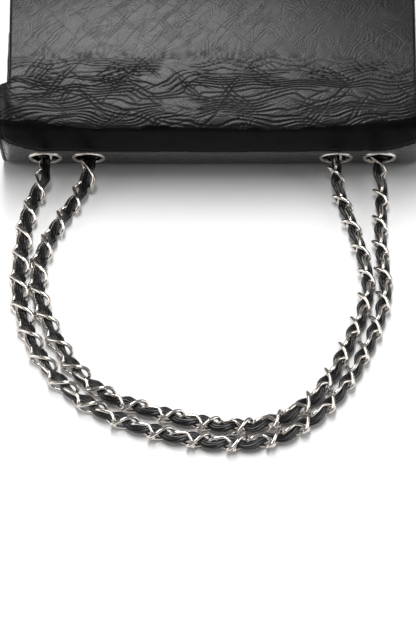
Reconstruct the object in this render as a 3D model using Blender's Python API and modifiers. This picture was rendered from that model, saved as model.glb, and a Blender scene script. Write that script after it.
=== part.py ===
"""Flap bag of crinkled leather, lying on its back with its laced chain straps in front.

Metres, +Z up. X runs across the bag, +Y from the rounded top to the base. The back panel lies
on z = 0 and the origin is under the middle of the bag. Run with blender --background --python.
"""

import math

import bmesh
import bpy
from mathutils import Vector

MM = 0.001

# Overall sizes of the body
BAG_HEIGHT = 190.0 * MM
SHOULDER_WIDTH = 280.0 * MM
SIDE_SPREAD_SHARE = 0.033
FRONT_SIDE_STEP = 9.0 * MM
PANEL_THICKNESS = 3.0 * MM
FRONT_THICKNESS = 2.5 * MM
LINING_THICKNESS = 0.8 * MM
CLEARANCE = 0.3 * MM
SEAM_LEAD = 1.0 * MM
OVERRUN = 6.0 * MM

# Side section: back curve, flat eyelet strip, round top, crowned front, base corners
BACK_CURVE_RADIUS = 15.0 * MM
STRIP_WIDTH = 26.0 * MM
ROLL_RADIUS = 31.0 * MM
CROWN_RADIUS = 360.0 * MM
BASE_RADIUS = 20.0 * MM
STRIP_LEAN = math.radians(31.5)
FLAP_SLOPE = math.radians(20.0)

# Flap and mouth
FLAP_SIDE_STEP = 8.0 * MM
FLAP_BASE_SETBACK = 20.2 * MM
FLAP_CORNER_RADIUS = 14.0 * MM
FLAP_LEATHER_THICKNESS = 1.4 * MM
FLAP_BOARD_THICKNESS = 0.8 * MM
FLAP_BOARD_MARGIN = 6.0 * MM
FLAP_REST_GAP = 0.5 * MM
HINGE_LIFT = 0.4 * MM
MOUTH_LENGTH = 50.0 * MM
MOUTH_FACING_WIDTH = 18.0 * MM
MOUTH_FACING_THICKNESS = 1.2 * MM

# Gussets and edge piping
GUSSET_THICKNESS = 3.0 * MM
GUSSET_LEAN = math.radians(3.9)
PIPING_RADIUS = 1.55 * MM

# Base board and inside pocket
BASE_BOARD_THICKNESS = 2.0 * MM
POCKET_WIDTH = 140.0 * MM
POCKET_HEIGHT = 85.0 * MM
POCKET_DEPTH = 6.4 * MM
POCKET_WALL = 1.0 * MM
POCKET_BASE_SPACE = 10.0 * MM

# Magnetic snap
MAGNET_RADIUS = 9.0 * MM
MAGNET_PLATE_RADIUS = 14.0 * MM
MAGNET_PLATE_THICKNESS = 1.0 * MM
MAGNET_FROM_EDGE = 26.0 * MM

# Eyelets
EYELET_RADIUS = 11.0 * MM
EYELET_HOLE_RADIUS = 8.6 * MM
EYELET_RIM_THICKNESS = 1.6 * MM
EYELET_BARREL_WALL = 0.7 * MM
WASHER_RADIUS = 11.6 * MM
WASHER_THICKNESS = 0.8 * MM
EYELET_SIDE_MARGIN = 29.8 * MM
EYELET_PAIR_SPACING = 28.6 * MM

# Chain straps
STRAP_RADIUS = 4.8 * MM
STRAP_END_GAP = 0.4 * MM
STRAP_LEAD = 4.0 * MM
INSIDE_RUN_DEPTH = 17.0 * MM
INSIDE_SHOULDER_SHARE = 0.7
INSIDE_LEAN_SHARE = 0.1

# Finish of edges and room for the leaning gusset plates at the notches
SMOOTH_ANGLE = math.radians(40.0)
ROUND_PROFILE = 0.5
ROLL_SHORT_ANGLE = math.radians(15.75)
CROWN_LATE_ANGLE = math.radians(5.25)

# Counts
ARC_STEPS = 5
TUBE_STEPS = 2
ROUTE_STEPS = 10
ROLL_STEPS = 14
CROWN_STEPS = 8
TURN_STEPS = 24
OUTER_STRAP_STEPS = 64
INNER_STRAP_STEPS = 62
INSIDE_STRAP_STEPS = 13

# Routes of the two straps over the table, left eyelet to right eyelet, chosen by hand
OUTER_ROUTE = [
    (-111.5, -93.0, 10.3), (-116.0, -106.0, 6.0), (-120.5, -124.0, 5.0), (-122.5, -150.0, 5.0),
    (-123.5, -175.0, 5.0), (-123.0, -197.0, 5.0), (-118.0, -222.5, 5.0), (-109.0, -248.5, 5.0),
    (-94.0, -274.5, 5.0), (-72.5, -296.0, 5.0), (-45.0, -312.0, 5.0), (-16.0, -321.5, 5.0),
    (14.0, -325.5, 5.0), (40.5, -320.0, 5.0), (63.0, -302.5, 5.0), (79.5, -280.0, 5.0),
    (93.0, -252.5, 5.0), (103.0, -225.0, 5.0), (109.5, -198.0, 5.0), (109.5, -174.0, 5.0),
    (109.0, -150.0, 5.0), (110.5, -126.0, 5.0), (112.0, -106.0, 6.0), (110.8, -93.0, 10.3),
]
INNER_ROUTE = [
    (-82.8, -93.0, 10.3), (-88.0, -106.0, 6.0), (-96.5, -125.0, 5.0), (-105.5, -148.0, 5.0),
    (-111.0, -171.0, 5.0), (-111.0, -195.0, 5.0), (-105.0, -219.5, 5.0), (-95.5, -244.0, 5.0),
    (-82.5, -268.0, 5.0), (-63.0, -287.5, 5.0), (-38.5, -299.0, 5.0), (-10.5, -308.0, 5.0),
    (16.0, -312.0, 5.0), (40.0, -306.0, 5.0), (59.5, -290.0, 5.0), (74.0, -267.0, 5.0),
    (85.0, -240.5, 5.0), (94.5, -214.5, 5.0), (99.0, -190.0, 5.0), (97.0, -166.0, 5.0),
    (92.5, -142.0, 5.0), (87.5, -120.5, 5.0), (84.0, -105.5, 6.2), (82.5, -93.0, 10.3),
]

# Section angles are those of the outward normal above the horizon, facing the top (-Y)
QUARTER = math.radians(90.0)
NOTCH_ANGLE = QUARTER - FLAP_SLOPE
FLAP_STACK = FLAP_LEATHER_THICKNESS + FLAP_BOARD_THICKNESS + LINING_THICKNESS + 2 * CLEARANCE
FRONT_INSET = FLAP_STACK + FLAP_REST_GAP
FRONT_STACK = FRONT_INSET + FRONT_THICKNESS + CLEARANCE
SHELL_STACK = PANEL_THICKNESS + CLEARANCE
HALF_HEIGHT = BAG_HEIGHT / 2
BAND_HALF_WIDTH = SHOULDER_WIDTH / 2 - 2 * PIPING_RADIUS - CLEARANCE
FRONT_HALF_WIDTH = SHOULDER_WIDTH / 2 - FRONT_SIDE_STEP
FLAP_HALF_WIDTH = SHOULDER_WIDTH / 2 - FLAP_SIDE_STEP
ROLL_CENTRE_Y = ROLL_RADIUS - HALF_HEIGHT
STRIP_LOW_Z = BACK_CURVE_RADIUS * (1 - math.sin(STRIP_LEAN))
STRIP_HIGH_Z = STRIP_LOW_Z + STRIP_WIDTH * math.cos(STRIP_LEAN)
ROLL_CENTRE_Z = STRIP_HIGH_Z + ROLL_RADIUS * math.sin(STRIP_LEAN)
STRIP_HIGH_Y = ROLL_CENTRE_Y - ROLL_RADIUS * math.cos(STRIP_LEAN)
STRIP_LOW_Y = STRIP_HIGH_Y + STRIP_WIDTH * math.sin(STRIP_LEAN)
BACK_CURVE_Y = STRIP_LOW_Y + BACK_CURVE_RADIUS * math.cos(STRIP_LEAN)
NOTCH_Y = ROLL_CENTRE_Y - ROLL_RADIUS * math.cos(NOTCH_ANGLE)
NOTCH_Z = ROLL_CENTRE_Z + ROLL_RADIUS * math.sin(NOTCH_ANGLE)
CROWN_CENTRE_Y = NOTCH_Y + CROWN_RADIUS * math.cos(NOTCH_ANGLE)
CROWN_CENTRE_Z = NOTCH_Z - CROWN_RADIUS * math.sin(NOTCH_ANGLE)
BASE_CENTRE_Y = HALF_HEIGHT - BASE_RADIUS
BASE_REACH = CROWN_RADIUS - FRONT_INSET - BASE_RADIUS
BASE_HIGH_Z = CROWN_CENTRE_Z + math.sqrt(BASE_REACH ** 2 - (BASE_CENTRE_Y - CROWN_CENTRE_Y) ** 2)
BASE_ANGLE = math.atan2(BASE_HIGH_Z - CROWN_CENTRE_Z, CROWN_CENTRE_Y - BASE_CENTRE_Y)
FLAP_START_ANGLE = NOTCH_ANGLE + (SEAM_LEAD + CLEARANCE) / CROWN_RADIUS
FLAP_END_Y = HALF_HEIGHT - FLAP_BASE_SETBACK
FLAP_END_ANGLE = math.acos((CROWN_CENTRE_Y - FLAP_END_Y) / CROWN_RADIUS)
FRONT_END_ANGLE = BASE_ANGLE - (SEAM_LEAD + CLEARANCE) / (CROWN_RADIUS - FRONT_STACK)
MOUTH_ANGLE = NOTCH_ANGLE + MOUTH_LENGTH / CROWN_RADIUS
MAGNET_ANGLE = FLAP_END_ANGLE - MAGNET_FROM_EDGE / CROWN_RADIUS
STRIP_NORMAL = Vector((0.0, -math.cos(STRIP_LEAN), -math.sin(STRIP_LEAN)))
STRIP_DOWN = Vector((0.0, math.sin(STRIP_LEAN), -math.cos(STRIP_LEAN)))
STRIP_CENTRE_Y = (STRIP_LOW_Y + STRIP_HIGH_Y) / 2
STRIP_CENTRE_Z = (STRIP_LOW_Z + STRIP_HIGH_Z) / 2

BLACK_LEATHER = ("black leather", (0.018, 0.018, 0.019, 1.0), 0.34, 0.0)
LINING_LEATHER = ("lining leather", (0.022, 0.021, 0.021, 1.0), 0.6, 0.0)
BOARD = ("stiffener board", (0.25, 0.21, 0.16, 1.0), 0.85, 0.0)
SILVER = ("polished silver metal", (0.78, 0.76, 0.73, 1.0), 0.16, 1.0)
MAGNET_METAL = ("magnet metal", (0.6, 0.6, 0.6, 1.0), 0.3, 1.0)
STRAP_MIX = ("laced chain", (0.2, 0.19, 0.19, 1.0), 0.3, 0.5)


def clear_scene():
    for scene_object in list(bpy.data.objects):
        bpy.data.objects.remove(scene_object, do_unlink=True)


def make_collection(name):
    collection = bpy.data.collections.new(name)
    bpy.context.scene.collection.children.link(collection)
    return collection


def give_material(part, look):
    name, colour, roughness, metallic = look
    material = bpy.data.materials.get(part.name + " " + name)
    if material is None:
        material = bpy.data.materials.new(part.name + " " + name)
        material.use_nodes = True
        shader = material.node_tree.nodes["Principled BSDF"]
        shader.inputs["Base Color"].default_value = colour
        shader.inputs["Roughness"].default_value = roughness
        shader.inputs["Metallic"].default_value = metallic
        material.diffuse_color = colour
    part.data.materials.clear()
    part.data.materials.append(material)


def add_part(name, data, look):
    part = bpy.data.objects.new(name, data)
    PARTS.objects.link(part)
    give_material(part, look)
    return part


def arc(centre_y, centre_z, radius, start, end, steps):
    """Points of the section where its outward normal turns from the start to the end angle."""
    points = []
    for step in range(steps + 1):
        angle = start + (end - start) * step / steps
        points.append((centre_y - radius * math.cos(angle), centre_z + radius * math.sin(angle)))
    return points


def lead_on(point, angle, length):
    """A point further along the section, straight on from where the normal has this angle."""
    return (point[0] + length * math.sin(angle), point[1] + length * math.cos(angle))


def back_curve(inset):
    radius = BACK_CURVE_RADIUS - inset
    return arc(BACK_CURVE_Y, BACK_CURVE_RADIUS, radius, -QUARTER, -STRIP_LEAN, ARC_STEPS)


def roll_arc(inset, end_angle):
    return arc(ROLL_CENTRE_Y, ROLL_CENTRE_Z, ROLL_RADIUS - inset, -STRIP_LEAN, end_angle, ROLL_STEPS)


def crown_arc(inset, start_angle, end_angle):
    radius = CROWN_RADIUS - inset
    return arc(CROWN_CENTRE_Y, CROWN_CENTRE_Z, radius, start_angle, end_angle, CROWN_STEPS)


def base_front_corner(inset):
    radius = BASE_RADIUS - inset
    return arc(BASE_CENTRE_Y, BASE_HIGH_Z, radius, BASE_ANGLE, 2 * QUARTER, ARC_STEPS)


def base_back_corner(inset):
    radius = BASE_RADIUS - inset
    return arc(BASE_CENTRE_Y, BASE_RADIUS, radius, 2 * QUARTER, 3 * QUARTER, ARC_STEPS)


def spread_at(y):
    """How far each side has moved out by here, as the bag widens from the round top to the base."""
    return SIDE_SPREAD_SHARE * max(0.0, y - ROLL_CENTRE_Y)


def sheet(name, profile, half_width, thickness, look, corner_radius=0.0):
    """A panel: a grid bent along the section profile, thickened inwards by Solidify."""
    mesh = bpy.data.meshes.new(name)
    shape = bmesh.new()
    bmesh.ops.create_grid(shape, x_segments=1, y_segments=len(profile) - 1, size=1.0)
    shape.verts.ensure_lookup_table()
    for vertex in shape.verts:
        row = round((vertex.co.y + 1) / 2 * (len(profile) - 1))
        y, z = profile[row]
        vertex.co = (vertex.co.x * (half_width + spread_at(y)), y, z)
    if corner_radius > 0:
        last_y, last_z = profile[-1]
        corners = [v for v in shape.verts if (v.co - Vector((v.co.x, last_y, last_z))).length < CLEARANCE]
        bmesh.ops.bevel(shape, geom=corners, offset=corner_radius, offset_type="OFFSET",
                        segments=ARC_STEPS, profile=ROUND_PROFILE, affect="VERTICES")
    shape.to_mesh(mesh)
    shape.free()
    part = add_part(name, mesh, look)
    solidify = part.modifiers.new("Thickness", "SOLIDIFY")
    solidify.thickness = thickness
    solidify.offset = -1.0
    solidify.use_even_offset = True
    mesh.shade_smooth()
    mesh.set_sharp_from_angle(angle=SMOOTH_ANGLE)
    return part


def plate(name, outline, thickness, outer_x, look):
    """A gusset plate: a filled 2D curve in the section plane, leaning in and spreading out."""
    curve = bpy.data.curves.new(name, "CURVE")
    curve.dimensions = "2D"
    curve.fill_mode = "BOTH"
    curve.extrude = thickness / 2
    spline = curve.splines.new("POLY")
    spline.points.add(len(outline) - 1)
    for point, (y, z) in zip(spline.points, outline):
        point.co = (y - ROLL_CENTRE_Y, z, 0.0, 1.0)
    spline.use_cyclic_u = True
    part = add_part(name, curve, look)
    side = math.copysign(1.0, outer_x)
    part.location = (-side * thickness / 2, 0.0, 0.0)
    part.rotation_euler = (QUARTER, 0.0, QUARTER)
    holder = bpy.data.objects.new(name + "_lean", None)
    PARTS.objects.link(holder)
    holder.location = (outer_x, ROLL_CENTRE_Y, 0.0)
    holder.rotation_euler = (0.0, -side * GUSSET_LEAN, -side * math.atan(SIDE_SPREAD_SHARE))
    part.parent = holder
    return part


def tube(name, points, radius, look):
    """A plain round tube along a POLY spline with filled ends."""
    curve = bpy.data.curves.new(name, "CURVE")
    curve.dimensions = "3D"
    curve.bevel_depth = radius
    curve.bevel_resolution = TUBE_STEPS
    curve.use_fill_caps = True
    spline = curve.splines.new("POLY")
    spline.points.add(len(points) - 1)
    for point, place in zip(spline.points, points):
        point.co = (place[0], place[1], place[2], 1.0)
    return add_part(name, curve, look)


def disc(name, radius, thickness, look, place, normal):
    """A round disc whose outer face has its centre at the place."""
    bpy.ops.mesh.primitive_cylinder_add(vertices=TURN_STEPS, radius=radius, depth=thickness)
    part = bpy.context.object
    part.name = name
    for collection in list(part.users_collection):
        collection.objects.unlink(part)
    PARTS.objects.link(part)
    give_material(part, look)
    part.rotation_euler = normal.to_track_quat("Z", "Y").to_euler()
    part.location = Vector(place) - normal * thickness / 2
    return part


def turned(name, profile, look, place, normal):
    """A ring turned about its own Z from a closed profile of (radius, height) points."""
    mesh = bpy.data.meshes.new(name)
    shape = bmesh.new()
    ring = [shape.verts.new((radius, 0.0, height)) for radius, height in profile]
    for first, second in zip(ring, ring[1:] + ring[:1]):
        shape.edges.new((first, second))
    shape.to_mesh(mesh)
    shape.free()
    part = add_part(name, mesh, look)
    screw = part.modifiers.new("Turn", "SCREW")
    screw.axis = "Z"
    screw.steps = TURN_STEPS
    screw.render_steps = TURN_STEPS
    screw.use_merge_vertices = True
    screw.merge_threshold = MM / 1000
    part.rotation_euler = normal.to_track_quat("Z", "Y").to_euler()
    part.location = place
    return part


def cylinder_cutter(name, radius, places, normal):
    """Round cutters along the normal through each place, joined in one hidden object."""
    mesh = bpy.data.meshes.new(name)
    shape = bmesh.new()
    turn = normal.to_track_quat("Z", "Y").to_matrix().to_4x4()
    for place in places:
        made = bmesh.ops.create_cone(shape, cap_ends=True, segments=TURN_STEPS,
                                     radius1=radius, radius2=radius, depth=4 * OVERRUN)
        bmesh.ops.transform(shape, matrix=turn, verts=made["verts"])
        bmesh.ops.translate(shape, vec=place, verts=made["verts"])
    shape.to_mesh(mesh)
    shape.free()
    cutter = bpy.data.objects.new(name, mesh)
    CUTTERS.objects.link(cutter)
    cutter.hide_render = True
    cutter.display_type = "WIRE"
    return cutter


def cut(part, cutter):
    boolean = part.modifiers.new("Cut " + cutter.name, "BOOLEAN")
    boolean.operation = "DIFFERENCE"
    boolean.solver = "EXACT"
    boolean.object = cutter


def crown_place(inset, angle):
    """A point and outward normal on the crowned front, at the middle of the width."""
    radius = CROWN_RADIUS - inset
    normal = Vector((0.0, -math.cos(angle), math.sin(angle)))
    centre = Vector((0.0, CROWN_CENTRE_Y, CROWN_CENTRE_Z))
    return centre + normal * radius, normal


def shell_outline(extra):
    """Closed section just inside the shell panels, with a further inset all round."""
    inset = SHELL_STACK + extra
    front = FRONT_STACK + extra
    corner = BASE_RADIUS - FRONT_THICKNESS - CLEARANCE - extra
    points = back_curve(inset) + roll_arc(inset, NOTCH_ANGLE - ROLL_SHORT_ANGLE)
    points += crown_arc(front, NOTCH_ANGLE + CROWN_LATE_ANGLE, BASE_ANGLE)
    points += arc(BASE_CENTRE_Y, BASE_HIGH_Z, corner, BASE_ANGLE, 2 * QUARTER, ARC_STEPS)[1:-1]
    points += [(HALF_HEIGHT - inset, BASE_HIGH_Z - inset)]
    points += base_back_corner(inset)
    return points


def build_shell():
    """Back, rounded top band, front and base panels of the outer leather."""
    seam = SEAM_LEAD + CLEARANCE
    back = [(BASE_CENTRE_Y - seam, 0.0), (0.0, 0.0), (BACK_CURVE_Y + seam, 0.0)]
    sheet("back_panel", back, BAND_HALF_WIDTH, PANEL_THICKNESS, BLACK_LEATHER)
    section = back_curve(0.0)
    section = [lead_on(section[0], -QUARTER, -SEAM_LEAD)] + section + roll_arc(0.0, NOTCH_ANGLE)
    section.append(lead_on(section[-1], NOTCH_ANGLE, SEAM_LEAD))
    band = sheet("top_band", section, BAND_HALF_WIDTH, PANEL_THICKNESS, BLACK_LEATHER)
    barrel_fit = EYELET_HOLE_RADIUS + EYELET_BARREL_WALL + CLEARANCE
    cut(band, cylinder_cutter("eyelet_holes", barrel_fit, eyelet_places(), STRIP_NORMAL))
    front_profile = crown_arc(FRONT_INSET, MOUTH_ANGLE, FRONT_END_ANGLE)
    front = sheet("front_panel", front_profile, FRONT_HALF_WIDTH, FRONT_THICKNESS, BLACK_LEATHER)
    base_profile = base_front_corner(0.0)
    base_profile.insert(0, lead_on(base_profile[0], BASE_ANGLE, -SEAM_LEAD))
    base_profile += base_back_corner(0.0)
    base_profile.append(lead_on(base_profile[-1], 3 * QUARTER, SEAM_LEAD))
    sheet("base_panel", base_profile, FRONT_HALF_WIDTH, FRONT_THICKNESS, BLACK_LEATHER)
    place, normal = crown_place(FRONT_INSET, MAGNET_ANGLE)
    cut(front, cylinder_cutter("front_magnet_hole", MAGNET_RADIUS + CLEARANCE, [place], normal))


def build_sides():
    """Gussets, their linings and the edge piping, one of each on the left and the right."""
    lining_x = GUSSET_THICKNESS + CLEARANCE
    run = [(BASE_CENTRE_Y, PIPING_RADIUS), (0.0, PIPING_RADIUS)]
    run += back_curve(PIPING_RADIUS) + roll_arc(PIPING_RADIUS, NOTCH_ANGLE)
    for side, word in ((-1.0, "left"), (1.0, "right")):
        outer_x = side * BAND_HALF_WIDTH
        plate("gusset_" + word, shell_outline(0.0), GUSSET_THICKNESS, outer_x, BLACK_LEATHER)
        inner_x = outer_x - side * lining_x
        plate("lining_" + word, shell_outline(LINING_THICKNESS + CLEARANCE), LINING_THICKNESS,
              inner_x, LINING_LEATHER)
        piping_x = SHOULDER_WIDTH / 2 - PIPING_RADIUS
        places = [(side * (piping_x + spread_at(y)), y, z) for y, z in run]
        tube("edge_piping_" + word, places, PIPING_RADIUS, BLACK_LEATHER)


def inner_half_width(highest_z):
    """Half the width between the leaning side linings, at the level of a piece's highest edge."""
    side_stack = GUSSET_THICKNESS + LINING_THICKNESS + 3 * CLEARANCE
    return BAND_HALF_WIDTH - side_stack - highest_z * math.tan(GUSSET_LEAN)


def build_inside():
    """Lining panels, base board, mouth facing and the patch pocket on the back lining."""
    level = SHELL_STACK
    crown_top = crown_place(FRONT_STACK, QUARTER)[0].z
    half_width = inner_half_width(crown_top)
    top_y = BACK_CURVE_Y + CLEARANCE
    base_y = BASE_CENTRE_Y - CLEARANCE
    sheet("lining_back", [(base_y, level), (0.0, level), (top_y, level)],
          inner_half_width(level + LINING_THICKNESS), LINING_THICKNESS, LINING_LEATHER)
    facing_end = MOUTH_ANGLE + MOUTH_FACING_WIDTH / CROWN_RADIUS
    sheet("mouth_facing", crown_arc(FRONT_STACK, MOUTH_ANGLE, facing_end), half_width,
          MOUTH_FACING_THICKNESS, BLACK_LEATHER)
    gap = CLEARANCE / CROWN_RADIUS
    plate_stack = FRONT_STACK + MAGNET_PLATE_THICKNESS + CLEARANCE
    sheet("lining_front", crown_arc(plate_stack, facing_end + gap, BASE_ANGLE), half_width,
          LINING_THICKNESS, LINING_LEATHER)
    board_y = HALF_HEIGHT - FRONT_THICKNESS - CLEARANCE
    low_z = BASE_RADIUS + CLEARANCE
    high_z = BASE_HIGH_Z - CLEARANCE
    sheet("base_board", [(board_y, high_z), (board_y, low_z)], half_width,
          BASE_BOARD_THICKNESS, BOARD)
    lining_y = board_y - BASE_BOARD_THICKNESS - CLEARANCE
    sheet("lining_base", [(lining_y, high_z), (lining_y, low_z)], half_width,
          LINING_THICKNESS, LINING_LEATHER)
    build_pocket(level + LINING_THICKNESS + CLEARANCE)


def build_pocket(floor_z):
    """Patch pocket: a shallow cover, open towards the top of the bag and against the lining."""
    end_y = BASE_CENTRE_Y - POCKET_BASE_SPACE
    bpy.ops.mesh.primitive_cube_add(size=1.0)
    cover = bpy.context.object
    cover.name = "inside_pocket"
    for collection in list(cover.users_collection):
        collection.objects.unlink(cover)
    PARTS.objects.link(cover)
    give_material(cover, LINING_LEATHER)
    for vertex in cover.data.vertices:
        vertex.co = (vertex.co.x * POCKET_WIDTH, vertex.co.y * POCKET_HEIGHT, vertex.co.z * POCKET_DEPTH)
    cover.location = (0.0, end_y - POCKET_HEIGHT / 2, floor_z + POCKET_DEPTH / 2)
    mesh = bpy.data.meshes.new("pocket_space")
    shape = bmesh.new()
    bmesh.ops.create_cube(shape, size=1.0)
    space = (POCKET_WIDTH - 2 * POCKET_WALL, POCKET_HEIGHT + OVERRUN, POCKET_DEPTH + OVERRUN)
    bmesh.ops.scale(shape, vec=space, verts=shape.verts)
    shape.to_mesh(mesh)
    shape.free()
    cutter = bpy.data.objects.new("pocket_space", mesh)
    CUTTERS.objects.link(cutter)
    cutter.hide_render = True
    cutter.display_type = "WIRE"
    shift_y = POCKET_WALL + OVERRUN / 2
    shift_z = POCKET_WALL + OVERRUN / 2
    cutter.location = cover.location - Vector((0.0, shift_y, shift_z))
    cut(cover, cutter)


def build_flap():
    """The flap's leather, board, lining and magnet, turning about the line at the notches."""
    hinge = bpy.data.objects.new("flap_hinge", None)
    PARTS.objects.link(hinge)
    notch_normal = Vector((0.0, -math.cos(NOTCH_ANGLE), math.sin(NOTCH_ANGLE)))
    line_y, line_z = lead_on((NOTCH_Y, NOTCH_Z), NOTCH_ANGLE, SEAM_LEAD)
    hinge.location = Vector((0.0, line_y, line_z)) + notch_normal * HINGE_LIFT
    start = FLAP_START_ANGLE
    board_start = start + FLAP_BOARD_MARGIN / CROWN_RADIUS
    board_end = FLAP_END_ANGLE - FLAP_BOARD_MARGIN / CROWN_RADIUS
    board_inset = FLAP_LEATHER_THICKNESS + CLEARANCE
    lining_inset = board_inset + FLAP_BOARD_THICKNESS + CLEARANCE
    leather = sheet("flap", crown_arc(0.0, start, FLAP_END_ANGLE), FLAP_HALF_WIDTH,
                    FLAP_LEATHER_THICKNESS, BLACK_LEATHER, FLAP_CORNER_RADIUS)
    board = sheet("flap_board", crown_arc(board_inset, board_start, board_end),
                  FLAP_HALF_WIDTH - FLAP_BOARD_MARGIN, FLAP_BOARD_THICKNESS, BOARD,
                  FLAP_CORNER_RADIUS - FLAP_BOARD_MARGIN)
    lining = sheet("flap_lining", crown_arc(lining_inset, start, FLAP_END_ANGLE), FLAP_HALF_WIDTH,
                   LINING_THICKNESS, LINING_LEATHER, FLAP_CORNER_RADIUS)
    place, normal = crown_place(board_inset, MAGNET_ANGLE)
    hole = cylinder_cutter("flap_magnet_hole", MAGNET_RADIUS + CLEARANCE, [place], normal)
    hole.location = normal * (-2 * OVERRUN)
    cut(board, hole)
    cut(lining, hole)
    depth = FLAP_BOARD_THICKNESS + CLEARANCE + LINING_THICKNESS
    magnet = disc("flap_magnet", MAGNET_RADIUS, depth, MAGNET_METAL, place, normal)
    bpy.context.view_layer.update()
    for part in (leather, board, lining, magnet, hole):
        part.parent = hinge
        part.matrix_parent_inverse = hinge.matrix_world.inverted()
    place, normal = crown_place(FRONT_INSET, MAGNET_ANGLE)
    disc("front_magnet", MAGNET_RADIUS, FRONT_THICKNESS, MAGNET_METAL, place, normal)
    place, normal = crown_place(FRONT_STACK, MAGNET_ANGLE)
    disc("front_magnet_plate", MAGNET_PLATE_RADIUS, MAGNET_PLATE_THICKNESS, MAGNET_METAL,
         place, normal)


def eyelet_columns():
    outer = SHOULDER_WIDTH / 2 - EYELET_SIDE_MARGIN
    inner = outer - EYELET_PAIR_SPACING
    return (("outer_left", -outer), ("inner_left", -inner), ("inner_right", inner), ("outer_right", outer))


def eyelet_places():
    return [Vector((x, STRIP_CENTRE_Y, STRIP_CENTRE_Z)) for word, x in eyelet_columns()]


def build_eyelets():
    """Four eyelets: a rolled rim and barrel outside, a washer inside the band."""
    wall = EYELET_HOLE_RADIUS + EYELET_BARREL_WALL
    barrel_end = -PANEL_THICKNESS - CLEARANCE - WASHER_THICKNESS
    rim_seat = CLEARANCE
    rim_top = rim_seat + EYELET_RIM_THICKNESS
    rim_middle = (EYELET_HOLE_RADIUS + EYELET_RADIUS) / 2
    shoulder = (rim_middle + EYELET_RADIUS) / 2
    throat = (rim_middle + EYELET_HOLE_RADIUS) / 2
    rim = [(EYELET_HOLE_RADIUS, barrel_end), (EYELET_HOLE_RADIUS, rim_seat), (throat, rim_top),
           (shoulder, rim_top), (EYELET_RADIUS, rim_seat), (wall, rim_seat), (wall, barrel_end)]
    hole = wall + CLEARANCE
    washer = [(hole, -WASHER_THICKNESS), (hole, 0.0), (WASHER_RADIUS, 0.0),
              (WASHER_RADIUS, -WASHER_THICKNESS)]
    inside = STRIP_NORMAL * (PANEL_THICKNESS + CLEARANCE)
    for (word, x), place in zip(eyelet_columns(), eyelet_places()):
        turned("eyelet_" + word, rim, SILVER, place, STRIP_NORMAL)
        turned("washer_" + word, washer, SILVER, place - inside, STRIP_NORMAL)


def smooth_route(route, count):
    """Evenly spaced points on a centripetal curve through the route's own points."""
    fine = []
    ends = [route[0] * 2 - route[1]] + route + [route[-1] * 2 - route[-2]]
    for a, b, c, d in zip(ends, ends[1:], ends[2:], ends[3:]):
        t1 = math.sqrt((b - a).length)
        t2 = t1 + math.sqrt((c - b).length)
        t3 = t2 + math.sqrt((d - c).length)
        for step in range(ROUTE_STEPS):
            t = t1 + (t2 - t1) * step / ROUTE_STEPS
            a1 = a * ((t1 - t) / t1) + b * (t / t1)
            a2 = b * ((t2 - t) / (t2 - t1)) + c * ((t - t1) / (t2 - t1))
            a3 = c * ((t3 - t) / (t3 - t2)) + d * ((t - t2) / (t3 - t2))
            b1 = a1 * ((t2 - t) / t2) + a2 * (t / t2)
            b2 = a2 * ((t3 - t) / (t3 - t1)) + a3 * ((t - t1) / (t3 - t1))
            fine.append(b1 * ((t2 - t) / (t2 - t1)) + b2 * ((t - t1) / (t2 - t1)))
    fine.append(route[-1])
    travelled = [0.0]
    for first, second in zip(fine, fine[1:]):
        travelled.append(travelled[-1] + (second - first).length)
    points = []
    index = 0
    for step in range(count):
        wanted = travelled[-1] * step / (count - 1)
        while index < len(fine) - 2 and travelled[index + 1] < wanted:
            index += 1
        share = (wanted - travelled[index]) / (travelled[index + 1] - travelled[index])
        points.append(fine[index].lerp(fine[index + 1], share))
    return points


def build_straps():
    """Outer and inner strap on the table, and the short runs that join them inside the bag."""
    through = STRIP_DOWN * (EYELET_HOLE_RADIUS - STRAP_RADIUS - CLEARANCE)
    outside = STRIP_NORMAL * STRAP_END_GAP
    left_outer, left_inner, right_inner, right_outer = [p + through for p in eyelet_places()]
    for name, route, start, end, count in (
            ("strap_outer", OUTER_ROUTE, left_outer, right_outer, OUTER_STRAP_STEPS),
            ("strap_inner", INNER_ROUTE, left_inner, right_inner, INNER_STRAP_STEPS)):
        places = [Vector(point) * MM for point in route]
        lead = STRIP_NORMAL * STRAP_LEAD
        points = smooth_route([start + lead] + places + [end + lead], count)
        tube(name, [start + outside] + points + [end + outside], STRAP_RADIUS, STRAP_MIX)
    for name, first, second in (("strap_inside_left", left_outer, left_inner),
                                ("strap_inside_right", right_inner, right_outer)):
        lean = (second - first) * INSIDE_LEAN_SHARE
        depth = STRIP_NORMAL * -INSIDE_RUN_DEPTH
        shoulder = depth * INSIDE_SHOULDER_SHARE
        lead = STRIP_NORMAL * -STRAP_LEAD
        places = [first + lead, first + shoulder + lean, (first + second) / 2 + depth,
                  second + shoulder - lean, second + lead]
        points = smooth_route(places, INSIDE_STRAP_STEPS)
        tube(name, [first] + points + [second], STRAP_RADIUS, STRAP_MIX)


clear_scene()
PARTS = make_collection("flap bag")
CUTTERS = make_collection("cutters")
build_shell()
build_sides()
build_inside()
build_flap()
build_eyelets()
build_straps()
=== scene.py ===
"""Flap bag of crinkled black leather, lying on its back, with laced chain straps looped in front.

Metres, +Z up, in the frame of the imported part: X across the bag, +Y from the round top to the
base, the table at z = 0.
"""
import math

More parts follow.
